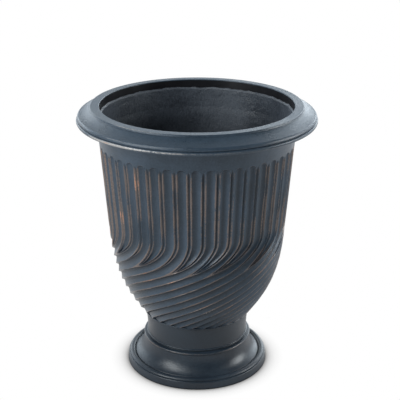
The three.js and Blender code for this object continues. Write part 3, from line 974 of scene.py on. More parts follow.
@dataclass(frozen=True)
class BowlForm:
    """The smooth form that the bowl's ridges lie on, in millimetres above its foot."""

    foot_z: float = 118.3
    height: float = 408.2
    foot_radius: float = 111.3
    shoulder_radius: float = 178.8
    shoulder_height: float = 173.0
    collar_radius: float = 201.0
    collar_depth: float = 39.5
    collar_flare: float = 6.4
    wall: float = 8.5
    floor: float = 9.0
    tongue_radius: float = 197.3
    tongue_height: float = 9.7
    spigot_outer: float = 96.2
    spigot_inner: float = 88.2
    spigot_length: float = 12.0
    drain_radius: float = 14.0
    drain_flat: float = 26.0
    floor_corner: float = 23.0
    belly_low: Point = (0.54, 0.28)   # handles of the belly's curve, as shares of its width and height
    belly_high: Point = (0.9, 0.5)
    collar_sag: float = 0.3           # how far the collar bends below a straight flare

    CURVE_STEPS = 400

    @property
    def flute_top(self) -> float:
        """Height where the collar ends and the flutes start."""
        return self.height - self.collar_depth

    def radius(self, heights: np.ndarray) -> np.ndarray:
        """Radius of the form.

        Args:
            heights: above the bowl's foot, in millimetres.

        Returns:
            The radius at each, in millimetres.
        """
        foot, shoulder = self.foot_radius, self.shoulder_radius
        curve = bezier(
            np.linspace(0, 1, self.CURVE_STEPS),
            (foot, 0.0),
            (lerp(foot, shoulder, self.belly_low[0]), self.shoulder_height * self.belly_low[1]),
            (lerp(foot, shoulder, self.belly_high[0]), self.shoulder_height * self.belly_high[1]),
            (shoulder, self.shoulder_height),
        )
        belly = np.interp(heights, curve[:, 1], curve[:, 0])
        top = self.collar_radius - self.collar_flare
        rise = (heights - self.shoulder_height) / (self.flute_top - self.shoulder_height)
        flutes = shoulder + (top - shoulder) * np.clip(rise, 0, 1)
        t = np.clip((heights - self.flute_top) / self.collar_depth, 0, 1)
        collar = top + self.collar_flare * (t + (t * t - t) * self.collar_sag)
        return np.where(heights <= self.shoulder_height, belly,
                        np.where(heights <= self.flute_top, flutes, collar))


@dataclass(frozen=True)
class Line:
    """A line of the flute pattern: a ridge, or the bottom of the groove in a land."""

    middle: float   # angle of its group's middle in the straight flutes, in degrees
    arris: float    # angle of its group's arris before the swirl turns it
    offset: float   # its place beside the middle
    end: float      # part of the turn in which it has closed up to the middle


@dataclass(frozen=True)
class Column:
    """One column of points down the bowl, between two lines or on one."""

    left: Line
    right: Line
    share: float = 0.0      # of the way from left to right
    warp: float = 0.0       # how far it follows the scoop's deepest line to one side
    flute: float = 0.0      # part of a straight flute's depth
    scoop: float = 0.0      # part of a scoop's depth
    groove: float = 0.0     # part of a groove's depth
    fade: float = 0.0       # 1 where its recess closes up
    fade_end: float = 1.0   # part of the turn in which it has closed
    edge: float = 0.0       # wear
    arch: float = 0.0       # how high its top reaches, from 0 to 1


@dataclass(frozen=True)
class FlutePattern:
    """The lands and channels of the straight flutes and the arrises of the swirl."""

    first_land: float = -52.3
    first_arris: float = -46.0
    land_share: float = 0.3
    channel_end: float = 0.82
    groove_end: float = 0.86
    ridge_end: float = 0.95
    arch_rise: float = 8.5
    arch_wall: float = 4.5
    groove_point: float = 12.0
    groove_arch: float = 0.7    # how high a groove's top reaches beside a channel's
    wear_width: float = 6.5     # the wear beside a ridge is gone at 1 / this of the way
    groove_wear: float = 0.15   # how fast it goes towards a groove, beside a channel

    # Lands in each group, from the first one round
    GROUPS = (2, 1, 2, 1, 2, 2, 2, 1, 2, *((1, 2) * 10))
    # Shares across a channel, with the depth there in a straight flute and in a scoop
    ACROSS = (
        (0.03, 0.05, 0.05), (0.09, 0.30, 0.30), (0.18, 0.57, 0.60), (0.3, 0.82, 0.86),
        (0.43, 0.97, 1.0), (0.57, 0.97, 0.93), (0.7, 0.82, 0.68), (0.82, 0.57, 0.42),
        (0.91, 0.30, 0.21), (0.97, 0.05, 0.05),
    )
    # Shares from a ridge to the bottom of the groove beside it, with the depth there
    INTO_GROOVE = ((0.13, 0.07), (0.45, 0.48), (0.78, 0.88))

    @property
    def pitch(self) -> float:
        """Angle from one land to the next, in degrees."""
        return 360 / sum(self.GROUPS)

    def _beside(self, share: float) -> float:
        """How much the paint is rubbed at this share of the way from a ridge to the next."""
        return max(0.0, 1.0 - self.wear_width * min(share, 1 - share))

    def _groove_column(self, left: Line, right: Line, groove: Line, share: float, depth: float,
                       mirrored: bool) -> Column:
        """One column between a ridge and the groove beside it.

        Args:
            left: the line on its left.
            right: the line on its right.
            groove: whichever of them is the groove.
            share: of the way from the ridge to the groove.
            depth: part of the groove's depth there.
            mirrored: whether the ridge is on the right.

        Returns:
            The column.
        """
        return Column(left, right, 1 - share if mirrored else share, groove=depth, fade=1.0,
                      fade_end=groove.end, edge=self._beside(share * self.groove_wear),
                      arch=self.groove_arch * share)

    def lines(self) -> list[tuple[str, Line]]:
        """Every ridge and groove in order round the bowl.

        Returns:
            Their kinds and lines.
        """
        made: list[tuple[str, Line]] = []
        land = 0
        ridge = self.land_share / 2 * self.pitch
        for index, lands in enumerate(self.GROUPS):
            middle = self.first_land + (land + (lands - 1) / 2) * self.pitch
            arris = self.first_arris + index * 360 / len(self.GROUPS)
            land += lands
            if lands == 1:
                places = (("ridge", -ridge, self.groove_end), ("groove", 0.0, self.groove_end),
                          ("ridge", ridge, self.groove_end))
            else:
                half = self.pitch / 2
                places = (
                    ("ridge", -half - ridge, self.ridge_end), ("groove", -half, self.groove_end),
                    ("ridge", ridge - half, self.channel_end), ("ridge", half - ridge, self.channel_end),
                    ("groove", half, self.groove_end), ("ridge", half + ridge, self.ridge_end))
            made.extend((kind, Line(middle, arris, offset, end)) for kind, offset, end in places)
        return made

    def columns(self) -> list[Column]:
        """Every column of points, from the first ridge all the way round.

        Returns:
            The columns, from left to right.
        """
        lines = self.lines()
        made: list[Column] = []
        for index, (kind, line) in enumerate(lines):
            wrapped = index == len(lines) - 1
            after_kind, after = lines[(index + 1) % len(lines)]
            if wrapped:
                after = Line(after.middle + 360, after.arris + 360, after.offset, after.end)
            if kind == "ridge":
                made.append(Column(line, line, edge=1.0))
            else:
                made.append(Column(line, line, groove=1.0, fade=1.0, fade_end=line.end,
                                   arch=self.groove_arch))
            if kind == "ridge" and after_kind == "ridge":
                dying = after.middle == line.middle
                made.extend(
                    Column(line, after, share, 1.0, flute, scoop, fade=float(dying),
                           fade_end=line.end, edge=self._beside(share),
                           arch=math.sqrt(1 - (2 * share - 1) ** 2))
                    for share, flute, scoop in self.ACROSS)
            elif kind == "ridge":
                made.extend(self._groove_column(line, after, after, share, depth, False)
                            for share, depth in self.INTO_GROOVE)
            else:
                made.extend(self._groove_column(line, after, line, share, depth, True)
                            for share, depth in reversed(self.INTO_GROOVE))
        return made


def flute_tree() -> bpy.types.NodeTree:
    """Geometry tree: cuts the flutes and the swirl into a turned blank whose points know their line.

    Returns:
        The tree.
    """
    closing_power = 2.0               # how late in its closing a line draws in
    shallowing = 3.0                  # 1 / the last part of a closing, in which it gets shallow
    flute_darkening, scoop_extra_darkening = 0.3, 0.45   # darkening in a straight flute, as soiling and painted shade, and what a scoop has over that
    groove_darkening_weight = 1.2                     # darkening in a groove, as soiling and painted shade
    faintest_darkening, fullest_darkening = 0.1, 0.9          # darkening that starts to show, and that counts in full
    weld = 0.01 * MM                  # points closer than this become one
    uneven_waves = 26.0               # in a metre
    swirl_sharpness, meeting_sharpness = 2.5, 12.0   # of the wear on arrises and where lines meet
    maker = TreeMaker.group("flutes and swirl", "GeometryNodeTree")
    blank = maker.input("Geometry", "NodeSocketGeometry")
    names = ("Foot Height", "Flute Depth", "Groove Depth", "Scoop Depth", "Scoop Foot Depth",
             "Deepest", "Swirl Lead", "Swirl Height", "Turn Height", "Closing Start", "Unevenness")
    size = {name: maker.input(name) for name in names}
    seed = maker.input("Seed", "NodeSocketInt", 1)
    paint = maker.input("Paint", "NodeSocketMaterial")
    lay_up = maker.input("Lay-up", "NodeSocketMaterial")
    lump_depth, lump_size = maker.input("Lump Depth"), maker.input("Lump Size")

    height = maker.point_value("height")
    turn_top = size["Swirl Height"] + size["Turn Height"]
    turned = height.eased(turn_top, size["Swirl Height"])
    closing = turn_top - size["Closing Start"] * size["Turn Height"]

    def closed(end: Field) -> Field:
        """How far a line has closed up."""
        return height.scaled(closing, turn_top - end * size["Turn Height"]).power(closing_power)

    def line_angle(side: str) -> Field:
        """Angle of the line on one side of a column, before the swirl.

        Args:
            side: "left" or "right".

        Returns:
            The angle.
        """
        middle = maker.point_value(f"{side}_middle").to(maker.point_value(f"{side}_arris"), turned)
        open_share = 1.0 - closed(maker.point_value(f"{side}_end"))
        return middle + maker.point_value(f"{side}_offset") * open_share

    below = (turn_top - height).most(0.0).least(size["Turn Height"])
    steady = (size["Swirl Height"] - height).most(0.0)
    wound = below * below / (size["Turn Height"] * 2.0) + steady
    swirl = wound * (-FULL_TURN) / size["Swirl Lead"]

    share = maker.point_value("share")
    deepest = (size["Deepest"] - 0.5) * turned + 0.5
    near = (share * 2.0).least(1.0) * deepest
    far = (share * 2.0 - 1.0).most(0.0) * (1.0 - deepest)
    across = share.to(near + far, maker.point_value("warp"))
    angle = line_angle("left").to(line_angle("right"), across) + swirl

    scoop_depth = size["Scoop Foot Depth"].to(
        size["Scoop Depth"], (height / size["Swirl Height"]).least(1.0))
    flute = maker.point_value("flute") * size["Flute Depth"]
    channel = flute.to(maker.point_value("scoop") * scoop_depth, turned)
    groove = maker.point_value("groove") * size["Groove Depth"]
    gathered = maker.point_value("fade") * closed(maker.point_value("fade_end"))
    kept = ((1.0 - gathered) * shallowing).least(1.0)
    shown_share = kept * maker.point_value("open")
    depth = (channel + groove) * shown_share
    # Recesses darken with their depth, the scoops most: soiling, and painted shade where shade falls in
    # them.
    channel_darkening = channel * channel / size["Flute Depth"] * (turned * scoop_extra_darkening + flute_darkening)
    groove_darkening = groove * groove / size["Groove Depth"] * groove_darkening_weight
    darkening = (channel_darkening + groove_darkening) * (1.0 - gathered) * maker.point_value("open")

    uneven = (maker.noise(None, uneven_waves, 2.0, seed) - 0.5) * size["Unevenness"]
    radius = maker.point_value("form_radius") - depth + uneven
    place = maker.vector(radius * angle.sine(), radius * angle.cosine() * -1.0,
                         height + size["Foot Height"])
    skin = maker.point_value("skin").over(0.5)
    cut = maker.node("GeometryNodeSetPosition",
                     {"Geometry": blank, "Selection": skin, "Position": place}).outputs[0]
    sunk = maker.node("GeometryNodeStoreNamedAttribute", {
        "Geometry": cut, "Selection": skin, "Name": Mark.GRIME_AND_PAINTED_SHADE.value,
        "Value": (darkening / size["Flute Depth"]).scaled(faintest_darkening, fullest_darkening)}, data_type="FLOAT", domain="POINT")
    edge = maker.point_value(Mark.EDGE.value)
    shown = maker.node("GeometryNodeStoreNamedAttribute", {
        "Geometry": sunk.outputs[0], "Name": Mark.EDGE.value,
        "Value": edge.to(edge.power(swirl_sharpness), turned).to(1.0, gathered.power(meeting_sharpness))},
        data_type="FLOAT", domain="POINT")
    joined = maker.node("GeometryNodeMergeByDistance",
                        {"Geometry": shown.outputs[0], "Distance": weld}).outputs[0]
    raw = maker.point_value(Mark.RAW.value)
    rough = add_lumps(maker, joined, raw, lump_depth, lump_size, seed)
    smooth = maker.node("GeometryNodeSetShadeSmooth", {"Geometry": rough}).outputs[0]
    close_tree(maker, smooth, ((paint, None), (lay_up, raw.over(0.99))))
    return maker.tree


def add_lumps(maker: TreeMaker, geometry: object, where: Field, depth: Field, size: Field,
              seed: Field) -> bpy.types.NodeSocket:
    """Raises lumps on a hand-laid surface, in a geometry tree.

    Args:
        maker: of the tree.
        geometry: to raise them on.
        where: share of the depth at each point.
        depth: of the tallest lumps.
        size: from one lump to the next.
        seed: of the noise.

    Returns:
        The geometry with its lumps.
    """
    lumps = maker.noise(None, 1.0 / size, 5.0, seed, 0.55) - 0.5
    normal = maker.node("GeometryNodeInputNormal").outputs[0]
    lift = maker.node("ShaderNodeVectorMath", {0: normal, "Scale": lumps * depth * where * 2.0},
                      operation="SCALE").outputs[0]
    return maker.node("GeometryNodeSetPosition", {"Geometry": geometry, "Offset": lift}).outputs[0]


class Body(Enum):
    """The bodies that pieces ride on."""

    PLANTER = "planter"
    PLUG = "plug"


def place(piece: bpy.types.Object, body: Body, slot: Slot, *nodes: str) -> bpy.types.Object:
    """Hangs a finished piece on the body that it rides on, and hides the CAD nodes that it stands for.

    Args:
        piece: the finished piece.
        body: that it rides on.
        slot: not used.
        nodes: that it stands for, if any.

    Returns:
        The piece.
    """
    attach(piece, body.value)
    if nodes:
        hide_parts(*nodes)
    return piece


@dataclass(frozen=True)
class FlutedBowl:
    """The bowl: a laid-up shell with flutes that turn into a swirl, and its drain."""

    form: BowlForm = BowlForm()
    pattern: FlutePattern = FlutePattern()
    flute_depth: float = 4.6
    groove_depth: float = 3.0
    scoop_depth: float = 4.6
    scoop_foot_depth: float = 4.2
    deepest: float = 0.2          # where across a scoop it is deepest
    swirl_lead: float = 530.0     # height in which the swirl would go once round
    swirl_height: float = 139.5
    turn_height: float = 78.5     # over which the flutes turn into the swirl
    closing_start: float = 0.14   # part of the turn above which every line is open
    unevenness: float = 0.5
    lump_depth: float = 0.8
    lump_size: float = 26.0
    shade_top: float = 375.0      # where the inside starts to darken
    shade_run: float = 120.0      # height over which it darkens
    arch_gap: float = 4.3         # from the last level row up to where the lowest arch may start
    seed: int = 11
    inner_segments: int = 280
    swirl_rows: int = 44
    turn_rows: int = 34
    straight_rows: int = 9

    # From the top of a recess down to its full depth: share of the way, part of the depth, edge mark
    ARCH_ROWS = ((1.0, 1.0, 0.0), (0.78, 0.95, 0.0), (0.56, 0.81, 0.0), (0.36, 0.59, 0.04),
                 (0.18, 0.33, 0.2), (0.06, 0.11, 0.45), (0.0, 0.0, 0.5), (-0.1, 0.0, 0.2))
    COLLAR_ROWS = (0.3, 0.65, 1.0)   # shares of the way up the collar
    # Rows down the inside: from this far below the mouth down to a height, as far as the camera
    # sees, and from another height down to the floor's corner
    IN_SIGHT_START = 4
    IN_SIGHT_END = 262
    IN_SIGHT_ROWS = 34
    HIDDEN_START = 252
    HIDDEN_ROWS = 18
    PAINTED_LIP = 1   # how far down the mouth the paint reaches
    SMOOTH_RING = 4   # width of the moulded ring round the drain's flat

    def build(self, finishes: Finishes) -> list[bpy.types.Object]:
        """Makes the whole shell as one closed mesh.

        Args:
            finishes: the planter's.

        Returns:
            The bowl, alone in a list.
        """
        draft = Draft()
        columns = self.pattern.columns()
        outer = self._outer_rows(draft, columns)
        inner = self._inner_rows(draft)
        inner_angles = around(self.inner_segments)
        draft.stitch(outer[-1], self._angles(columns, turned=False), inner[0], inner_angles, True)
        draft.stitch(outer[0], self._angles(columns, turned=True), inner[-1], inner_angles, False)
        bowl = draft.build("fluted_bowl")
        apply_tree(bowl, flute_tree(), {
            "Foot Height": self.form.foot_z * MM,
            "Flute Depth": self.flute_depth * MM,
            "Groove Depth": self.groove_depth * MM,
            "Scoop Depth": self.scoop_depth * MM,
            "Scoop Foot Depth": self.scoop_foot_depth * MM,
            "Deepest": self.deepest,
            "Swirl Lead": self.swirl_lead * MM,
            "Swirl Height": self.swirl_height * MM,
            "Turn Height": self.turn_height * MM,
            "Closing Start": self.closing_start,
            "Unevenness": self.unevenness * MM,
            "Seed": self.seed,
            "Lump Depth": self.lump_depth * MM,
            "Lump Size": self.lump_size * MM,
            "Paint": finishes.paint,
            "Lay-up": finishes.lay_up,
        })
        return [place(bowl, Body.PLANTER, Slot.PAINT, "bowl_shell")]

    def _angles(self, columns: Sequence[Column], turned: bool) -> np.ndarray:
        """Angles of the columns' ends.

        Args:
            columns: of the outside.
            turned: whether at the foot, where the swirl has turned them, or at the top.

        Returns:
            Their angles in radians, rising.
        """
        made = []
        for column in columns:
            if turned:
                share = lerp(column.share, self._scoop_share(column.share), column.warp)
                made.append(lerp(column.left.arris, column.right.arris, share))
            else:
                left, right = (line.middle + line.offset for line in (column.left, column.right))
                made.append(lerp(left, right, column.share))
        winding = 360 / self.swirl_lead * (self.turn_height / 2 + self.swirl_height)
        return np.radians(np.array(made) - winding * turned)

    def _scoop_share(self, share: float) -> float:
        """Where a column lies across a scoop, whose deepest line is off its middle."""
        return min(share * 2, 1) * self.deepest + max(share * 2 - 1, 0) * (1 - self.deepest)

    def _outer_rows(self, draft: Draft, columns: Sequence[Column]) -> np.ndarray:
        """Rows up the outside: swirl, turn, straight flutes, arched tops, collar and tongue.

        Args:
            draft: of the bowl.
            columns: of the outside.

        Returns:
            The points' indices, rows x columns.
        """
        form, pattern = self.form, self.pattern
        groove = np.array([column.groove for column in columns])
        edge = np.array([column.edge for column in columns])
        tops = form.flute_top - pattern.arch_rise * (1 - np.array([c.arch for c in columns]))
        runs = lerp(pattern.arch_wall, pattern.groove_point, groove)
        turn_top = self.swirl_height + self.turn_height
        straight_top = form.flute_top - pattern.arch_rise - pattern.groove_point - self.arch_gap
        levels = (
            *np.linspace(0, self.swirl_height, self.swirl_rows, endpoint=False),
            *np.linspace(self.swirl_height, turn_top, self.turn_rows, endpoint=False),
            *np.linspace(turn_top, straight_top, self.straight_rows),
        )
        rows = [(np.full(len(columns), level), 1.0, edge) for level in levels]
        rows.append((lerp(levels[-1], tops - runs, 0.5), 1.0, edge))
        for share, opened, outlined in self.ARCH_ROWS:
            worn = np.maximum(edge * opened, outlined * (1 - 0.5 * groove))
            rows.append((tops - runs * share, opened, worn))
        collar_foot = rows[-1][0]
        for share in self.COLLAR_ROWS:
            rows.append((lerp(collar_foot, form.height, share), 0.0, edge * 0))
        rows.append((np.full(len(columns), form.height + form.tongue_height), 0.0, edge * 0))

        heights = np.array([row[0] for row in rows])
        radius = form.radius(heights)
        angles = self._angles(columns, turned=False)[None, :]
        marks: dict[str, np.ndarray | float] = {
            "height": heights * MM,
            "form_radius": radius * MM,
            "open": np.array([row[1] for row in rows])[:, None],
            Mark.EDGE.value: np.array([row[2] for row in rows]),
            "skin": 1.0,
        }
        for name in ("share", "warp", "flute", "scoop", "groove", "fade", "fade_end"):
            marks[name] = np.array([getattr(column, name) for column in columns])[None, :]
        for side in ("left", "right"):
            lines = [getattr(column, side) for column in columns]
            for name in ("middle", "arris", "offset"):
                values = np.radians([getattr(line, name) for line in lines])
                marks[f"{side}_{name}"] = values[None, :]
            marks[f"{side}_end"] = np.array([line.end for line in lines])[None, :]
        points = on_round(radius * MM, angles, (heights + form.foot_z) * MM)
        indices = draft.add(points, marks)
        draft.skin(indices)
        return indices

    def _inner_rows(self, draft: Draft) -> np.ndarray:
        """Rows down the inside, through the drain and round the spigot to the foot's underside.

        Args:
            draft: of the bowl.

        Returns:
            The points' indices, rows x columns.
        """
        form = self.form
        top = form.height
        wall_top = float(form.radius(np.array(top))) - form.wall
        outline = Outline()
        outline.corner(form.tongue_radius, top + form.tongue_height)
        outline.corner(form.tongue_radius, top, 0.3)
        outline.corner(wall_top, top, 0.6)
        in_sight = np.linspace(top - self.IN_SIGHT_START, self.IN_SIGHT_END, self.IN_SIGHT_ROWS)
        hidden = np.linspace(self.HIDDEN_START, form.floor_corner, self.HIDDEN_ROWS)
        for z in (*in_sight.tolist(), *hidden.tolist()):
            outline.corner(float(form.radius(np.array(z))) - form.wall, z, 0.0)
        wall_foot = outline.corners[-1].r
        outline.corner(lerp(form.drain_flat, wall_foot, 0.7), form.floor + 3, 3.0)
        outline.corner(form.drain_flat, form.floor, 1.0)
        outline.corner(form.drain_radius, form.floor, 0.6)
        outline.corner(form.drain_radius, 0.0, 0.6)
        outline.corner(form.spigot_inner, 0.0, 0.6)
        outline.corner(form.spigot_inner, -form.spigot_length, 0.6)
        outline.corner(form.spigot_outer, -form.spigot_length, 0.6)
        outline.corner(form.spigot_outer, 0.0, 0.4)
        outline.corner(form.foot_radius - 5.3, 0.0)
        profile = outline.profile(closed=False)
        radius, height = profile.radius / MM, profile.height / MM
        laid = (height < top - self.PAINTED_LIP) & (radius > form.drain_flat + self.SMOOTH_RING)
        laid &= (height > 0.5) | (radius < form.spigot_inner + 0.2)
        # The inside darkens downwards from shade_top: painted shade.
        depth = np.clip((self.shade_top - height) / self.shade_run, 0, 1)
        marks = {Mark.EDGE.value: profile.edge[:, None], Mark.GRIME_AND_PAINTED_SHADE.value: depth[:, None],
                 Mark.RAW.value: laid.astype(float)[:, None]}
        points = on_round(profile.radius[:, None], around(self.inner_segments)[None, :],
                          profile.height[:, None] + form.foot_z * MM)
        indices = draft.add(points, marks)
        draft.skin(indices)
        return indices


# ---------------------------------------------------------------------------- laid-up strips


def strip_tree() -> bpy.types.NodeTree:
    """Geometry tree: makes a smooth ring of lay-up lumpy, with torn edges.

    Returns:
        The tree.
    """
    maker = TreeMaker.group("rough lay-up", "GeometryNodeTree")
    smooth = maker.input("Geometry", "NodeSocketGeometry")
    depth, size = maker.input("Lump Depth"), maker.input("Lump Size")
    tear, tear_size = maker.input("Tear Depth"), maker.input("Tear Size")
    seed = maker.input("Seed", "NodeSocketInt", 1)
    lay_up = maker.input("Lay-up", "NodeSocketMaterial")
    raw, fray = maker.point_value(Mark.RAW.value), maker.point_value(Mark.FRAY.value)
    torn = maker.noise(None, 1.0 / tear_size, 4.0, seed, 0.6) - 0.5
    drop = maker.vector(0.0, 0.0, torn * tear * fray * 2.0)
    ragged = maker.node("GeometryNodeSetPosition", {"Geometry": smooth, "Offset": drop}).outputs[0]
    lumpy = add_lumps(maker, ragged, raw, depth, size, seed)
    shaded = maker.node("GeometryNodeSetShadeSmooth", {"Geometry": lumpy}).outputs[0]
    close_tree(maker, shaded, ((lay_up, None),))
    return maker.tree


@dataclass(frozen=True)
class LaidUpStrip:
    """A ring of glass mat and resin that a hand laid over a joint."""

    name: str
    node: str
    face: tuple[Corner, ...]   # its uneven side, from the top down
    back: tuple[Corner, ...]   # the side against what it joins, from the foot up
    segments: int = 300
    face_rows: int = 16
    lump_depth: float = 0.8
    lump_size: float = 15.0
    tear_depth: float = 2.0
    tear_size: float = 11.0
    seed: int = 5

    FRAY_REACH = 4.0   # how far from its edges the strip is frayed

    def build(self, tree: bpy.types.NodeTree, finishes: Finishes) -> bpy.types.Object:
        """Makes the strip and roughens it.

        Args:
            tree: that roughens it.
            finishes: the planter's.

        Returns:
            The strip.
        """
        outline = Outline()
        for corner in self.back:
            outline.corner(corner.r, corner.z, corner.rounding)
        first = len(outline.corners)
        for start, end in zip(self.face, self.face[1:]):
            for share in np.arange(0, 1, 1 / self.face_rows).tolist():
                outline.corner(lerp(start.r, end.r, share), lerp(start.z, end.z, share), 0.0,
                               lerp(start.edge, end.edge, share))
        last = self.face[-1]
        outline.corner(last.r, last.z, 0.0, last.edge)
        profile = outline.profile()
        heights = profile.height / MM
        on_face = np.arange(len(heights)) >= first
        top, foot = self.face[0].z, last.z
        fray = sum(np.exp(-(((heights - end) / self.FRAY_REACH) ** 2)) for end in (top, foot))
        draft = Draft()
        marks = profile.marks() | {Mark.RAW.value: on_face.astype(float)[:, None],
                                   Mark.FRAY.value: fray[:, None]}
        points = on_round(profile.radius[:, None], around(self.segments)[None, :],
                          profile.height[:, None])
        draft.skin(draft.add(points, marks), close=True)
        strip = draft.build(self.name)
        apply_tree(strip, tree, {
            "Lump Depth": self.lump_depth * MM,
            "Lump Size": self.lump_size * MM,
            "Tear Depth": self.tear_depth * MM,
            "Tear Size": self.tear_size * MM,
            "Seed": self.seed,
            "Lay-up": finishes.lay_up,
        })
        return place(strip, Body.PLANTER, Slot.LAY_UP, self.node)


# ---------------------------------------------------------------------------- rim


@dataclass(frozen=True)
class RimAssembly:
    """The overhanging rim, glued onto the bowl's tongue, and the strip laid up inside its joint."""

    joint_z: float = 526.5
    mouth: float = 192.5
    lip_outer: float = 210.4
    height: float = 33.5
    lip_step: float = 4.2
    edge_radius: float = 236.0
    bead_foot: float = 2.6
    bead_head: float = 9.2
    bead_bulge: float = 2.2
    roll_top: float = 17.4
    tongue_inner: float = 197.0
    groove_outer: float = 201.8
    groove_height: float = 10.3
    seat_radius: float = 206.6    # where its underside leaves the bowl's shoulder
    roll_bulge: float = 1.9
    bead_wear_and_highlight: float = 0.5
    roll_wear: float = 0.15
    lip_wear: float = 0.25
    mouth_wear: float = 0.1
    strip_drop: float = 32.0      # from the joint down to the strip's foot
    strip_rise: float = 17.0      # and up to its torn edge
    segments: int = 320
    waver: Waver = Waver(0.22, 4)
    # Most rub at the front left, where the lamp's highlight falls on the bead: wear and painted
    # highlight.
    wear_and_highlight: WearAndHighlight = WearAndHighlight(-34, 26, 0.4, 1.5)

    def build(self, finishes: Finishes, strips: bpy.types.NodeTree) -> list[bpy.types.Object]:
        """Makes the rim and its strip."""
        return [self._ring(finishes), self._strip(finishes, strips)]

    def _ring(self, finishes: Finishes) -> bpy.types.Object:
        """Turns the moulded ring.

        Args:
            finishes: the planter's.

        Returns:
            The ring.
        """
        z, top = self.joint_z, self.joint_z + self.height
        step = top - self.lip_step
        outline = Outline()
        outline.corner(self.mouth, z + GLUE_LINE, 0.4)
        outline.corner(self.tongue_inner, z + GLUE_LINE, 0.4)
        outline.corner(self.tongue_inner, z + self.groove_height, 0.3)
        outline.corner(self.groove_outer, z + self.groove_height, 0.3)
        outline.corner(self.groove_outer, z + 1.3, 0.4)
        outline.corner(self.seat_radius, z + 1.7, 1.0)
        outline.corner(self.edge_radius - 4, z + self.bead_foot - 0.6, 1.0, sunk=0.6)
        outline.bead((self.edge_radius, z + self.bead_foot), (self.edge_radius, z + self.bead_head),
                     self.bead_bulge, edge=self.bead_wear_and_highlight, peak=0.6, steps=14, spread=0.3)
        outline.corner(self.edge_radius - 1.5, z + self.bead_head + 0.5, 0.5, sunk=1.0)
        outline.bead((self.edge_radius - 0.4, z + self.bead_head + 1.4),
                     (self.edge_radius - 4, z + self.roll_top), self.roll_bulge,
                     edge=self.roll_wear, peak=0.6, steps=14)
        outline.corner(self.lip_outer + 2, step, 0.8, sunk=0.6)
        outline.corner(self.lip_outer + 0.5, step + 0.9, 0.5)
        outline.corner(self.lip_outer, top, 1.3, edge=self.lip_wear)
        outline.corner(self.mouth, top, 1.5, edge=self.mouth_wear)
        ring = turn("moulded_rim", outline.profile(), self.segments, self.waver,
                    wear_and_highlight=self.wear_and_highlight)
        ring.data.materials.append(finishes.rim_paint_with_highlight)
        ring.data.materials.append(finishes.black)
        for face in ring.data.polygons:
            out = math.hypot(face.center.x, face.center.y) / MM
            inside = out < self.mouth + 1 and face.center.z / MM < top - 1.2
            face.material_index = int(inside)
        return place(ring, Body.PLANTER, Slot.PAINT, "rim_ring")

    def _strip(self, finishes: Finishes, strips: bpy.types.NodeTree) -> bpy.types.Object:
        """Lays the strip over the joint inside the mouth.

        Args:
            finishes: the planter's.
            strips: the tree that roughens it.

        Returns:
            The strip.
        """
        low, high = self.joint_z - self.strip_drop, self.joint_z + self.strip_rise
        face = (Corner(191.0, high, edge=1.0), Corner(189.0, high - 3, edge=0.4),
                Corner(188.9, self.joint_z), Corner(187.9, low))
        backed = self.mouth - GLUE_LINE
        back = (Corner(188.6, low), Corner(backed, self.joint_z), Corner(backed, high))
        return LaidUpStrip("rim_layup_strip", "rim_bond_strip", face, back, segments=420,
                           face_rows=9, lump_depth=1.0, lump_size=9.0, tear_depth=4.5,
                           tear_size=16.0).build(strips, finishes)


# ---------------------------------------------------------------------------- foot


def paste_tree() -> bpy.types.NodeTree:
    """Geometry tree: a lumpy bead of paste round the seam under the bowl.

    Returns:
        The tree.
    """
    maker = TreeMaker.group("seam paste", "GeometryNodeTree")
    maker.input("Geometry", "NodeSocketGeometry")
    radius, height = maker.input("Seam Radius"), maker.input("Height")
    thin, thick = maker.input("Thin"), maker.input("Thick")
    lump_size = maker.input("Lump Size")
    steps = maker.input("Steps", "NodeSocketInt", 300)
    seed = maker.input("Seed", "NodeSocketInt", 1)
    paint = maker.input("Paint", "NodeSocketMaterial")
    path = maker.node("GeometryNodeCurvePrimitiveCircle",
                      {"Resolution": steps, "Radius": radius}).outputs[0]
    lumps = maker.noise(None, 1.0 / lump_size, 2.0, seed).eased(0.42, 0.66)
    sized = maker.node("GeometryNodeSetCurveRadius",
                       {"Curve": path, "Radius": thin.to(thick, lumps) / thick}).outputs[0]
    section = maker.node("GeometryNodeCurvePrimitiveCircle",
                         {"Resolution": 10, "Radius": thick}).outputs[0]
    tube = maker.node("GeometryNodeCurveToMesh",
                      {"Curve": sized, "Profile Curve": section}).outputs[0]
    lifted = maker.node("GeometryNodeSetPosition",
                        {"Geometry": tube, "Offset": maker.vector(0.0, 0.0, height)}).outputs[0]
    shaded = maker.node("GeometryNodeSetShadeSmooth", {"Geometry": lifted}).outputs[0]
    worn = maker.node("GeometryNodeStoreNamedAttribute", {
        "Geometry": shaded, "Name": Mark.EDGE.value, "Value": 0.15}, data_type="FLOAT",
        domain="POINT").outputs[0]
    close_tree(maker, worn, ((paint, None),))
    return maker.tree


def pads_tree() -> bpy.types.NodeTree:
    """Geometry tree: sets copies of one pad out round a circle.

    Returns:
        The tree.
    """
    maker = TreeMaker.group("pads on a circle", "GeometryNodeTree")
    pad = maker.input("Geometry", "NodeSocketGeometry")
    count = maker.input("Count", "NodeSocketInt", 4)
    radius, first = maker.input("Circle Radius"), maker.input("First Angle")
    rubber = maker.input("Rubber", "NodeSocketMaterial")
    ring = maker.node("GeometryNodeMeshCircle", {"Vertices": count, "Radius": radius}).outputs[0]
    turned = maker.node("GeometryNodeTransform", {
        "Geometry": ring, "Rotation": maker.vector(0.0, 0.0, first)}).outputs[0]
    copies = maker.node("GeometryNodeInstanceOnPoints", {"Points": turned, "Instance": pad}).outputs[0]
    close_tree(maker, copies, ((rubber, None),))
    return maker.tree


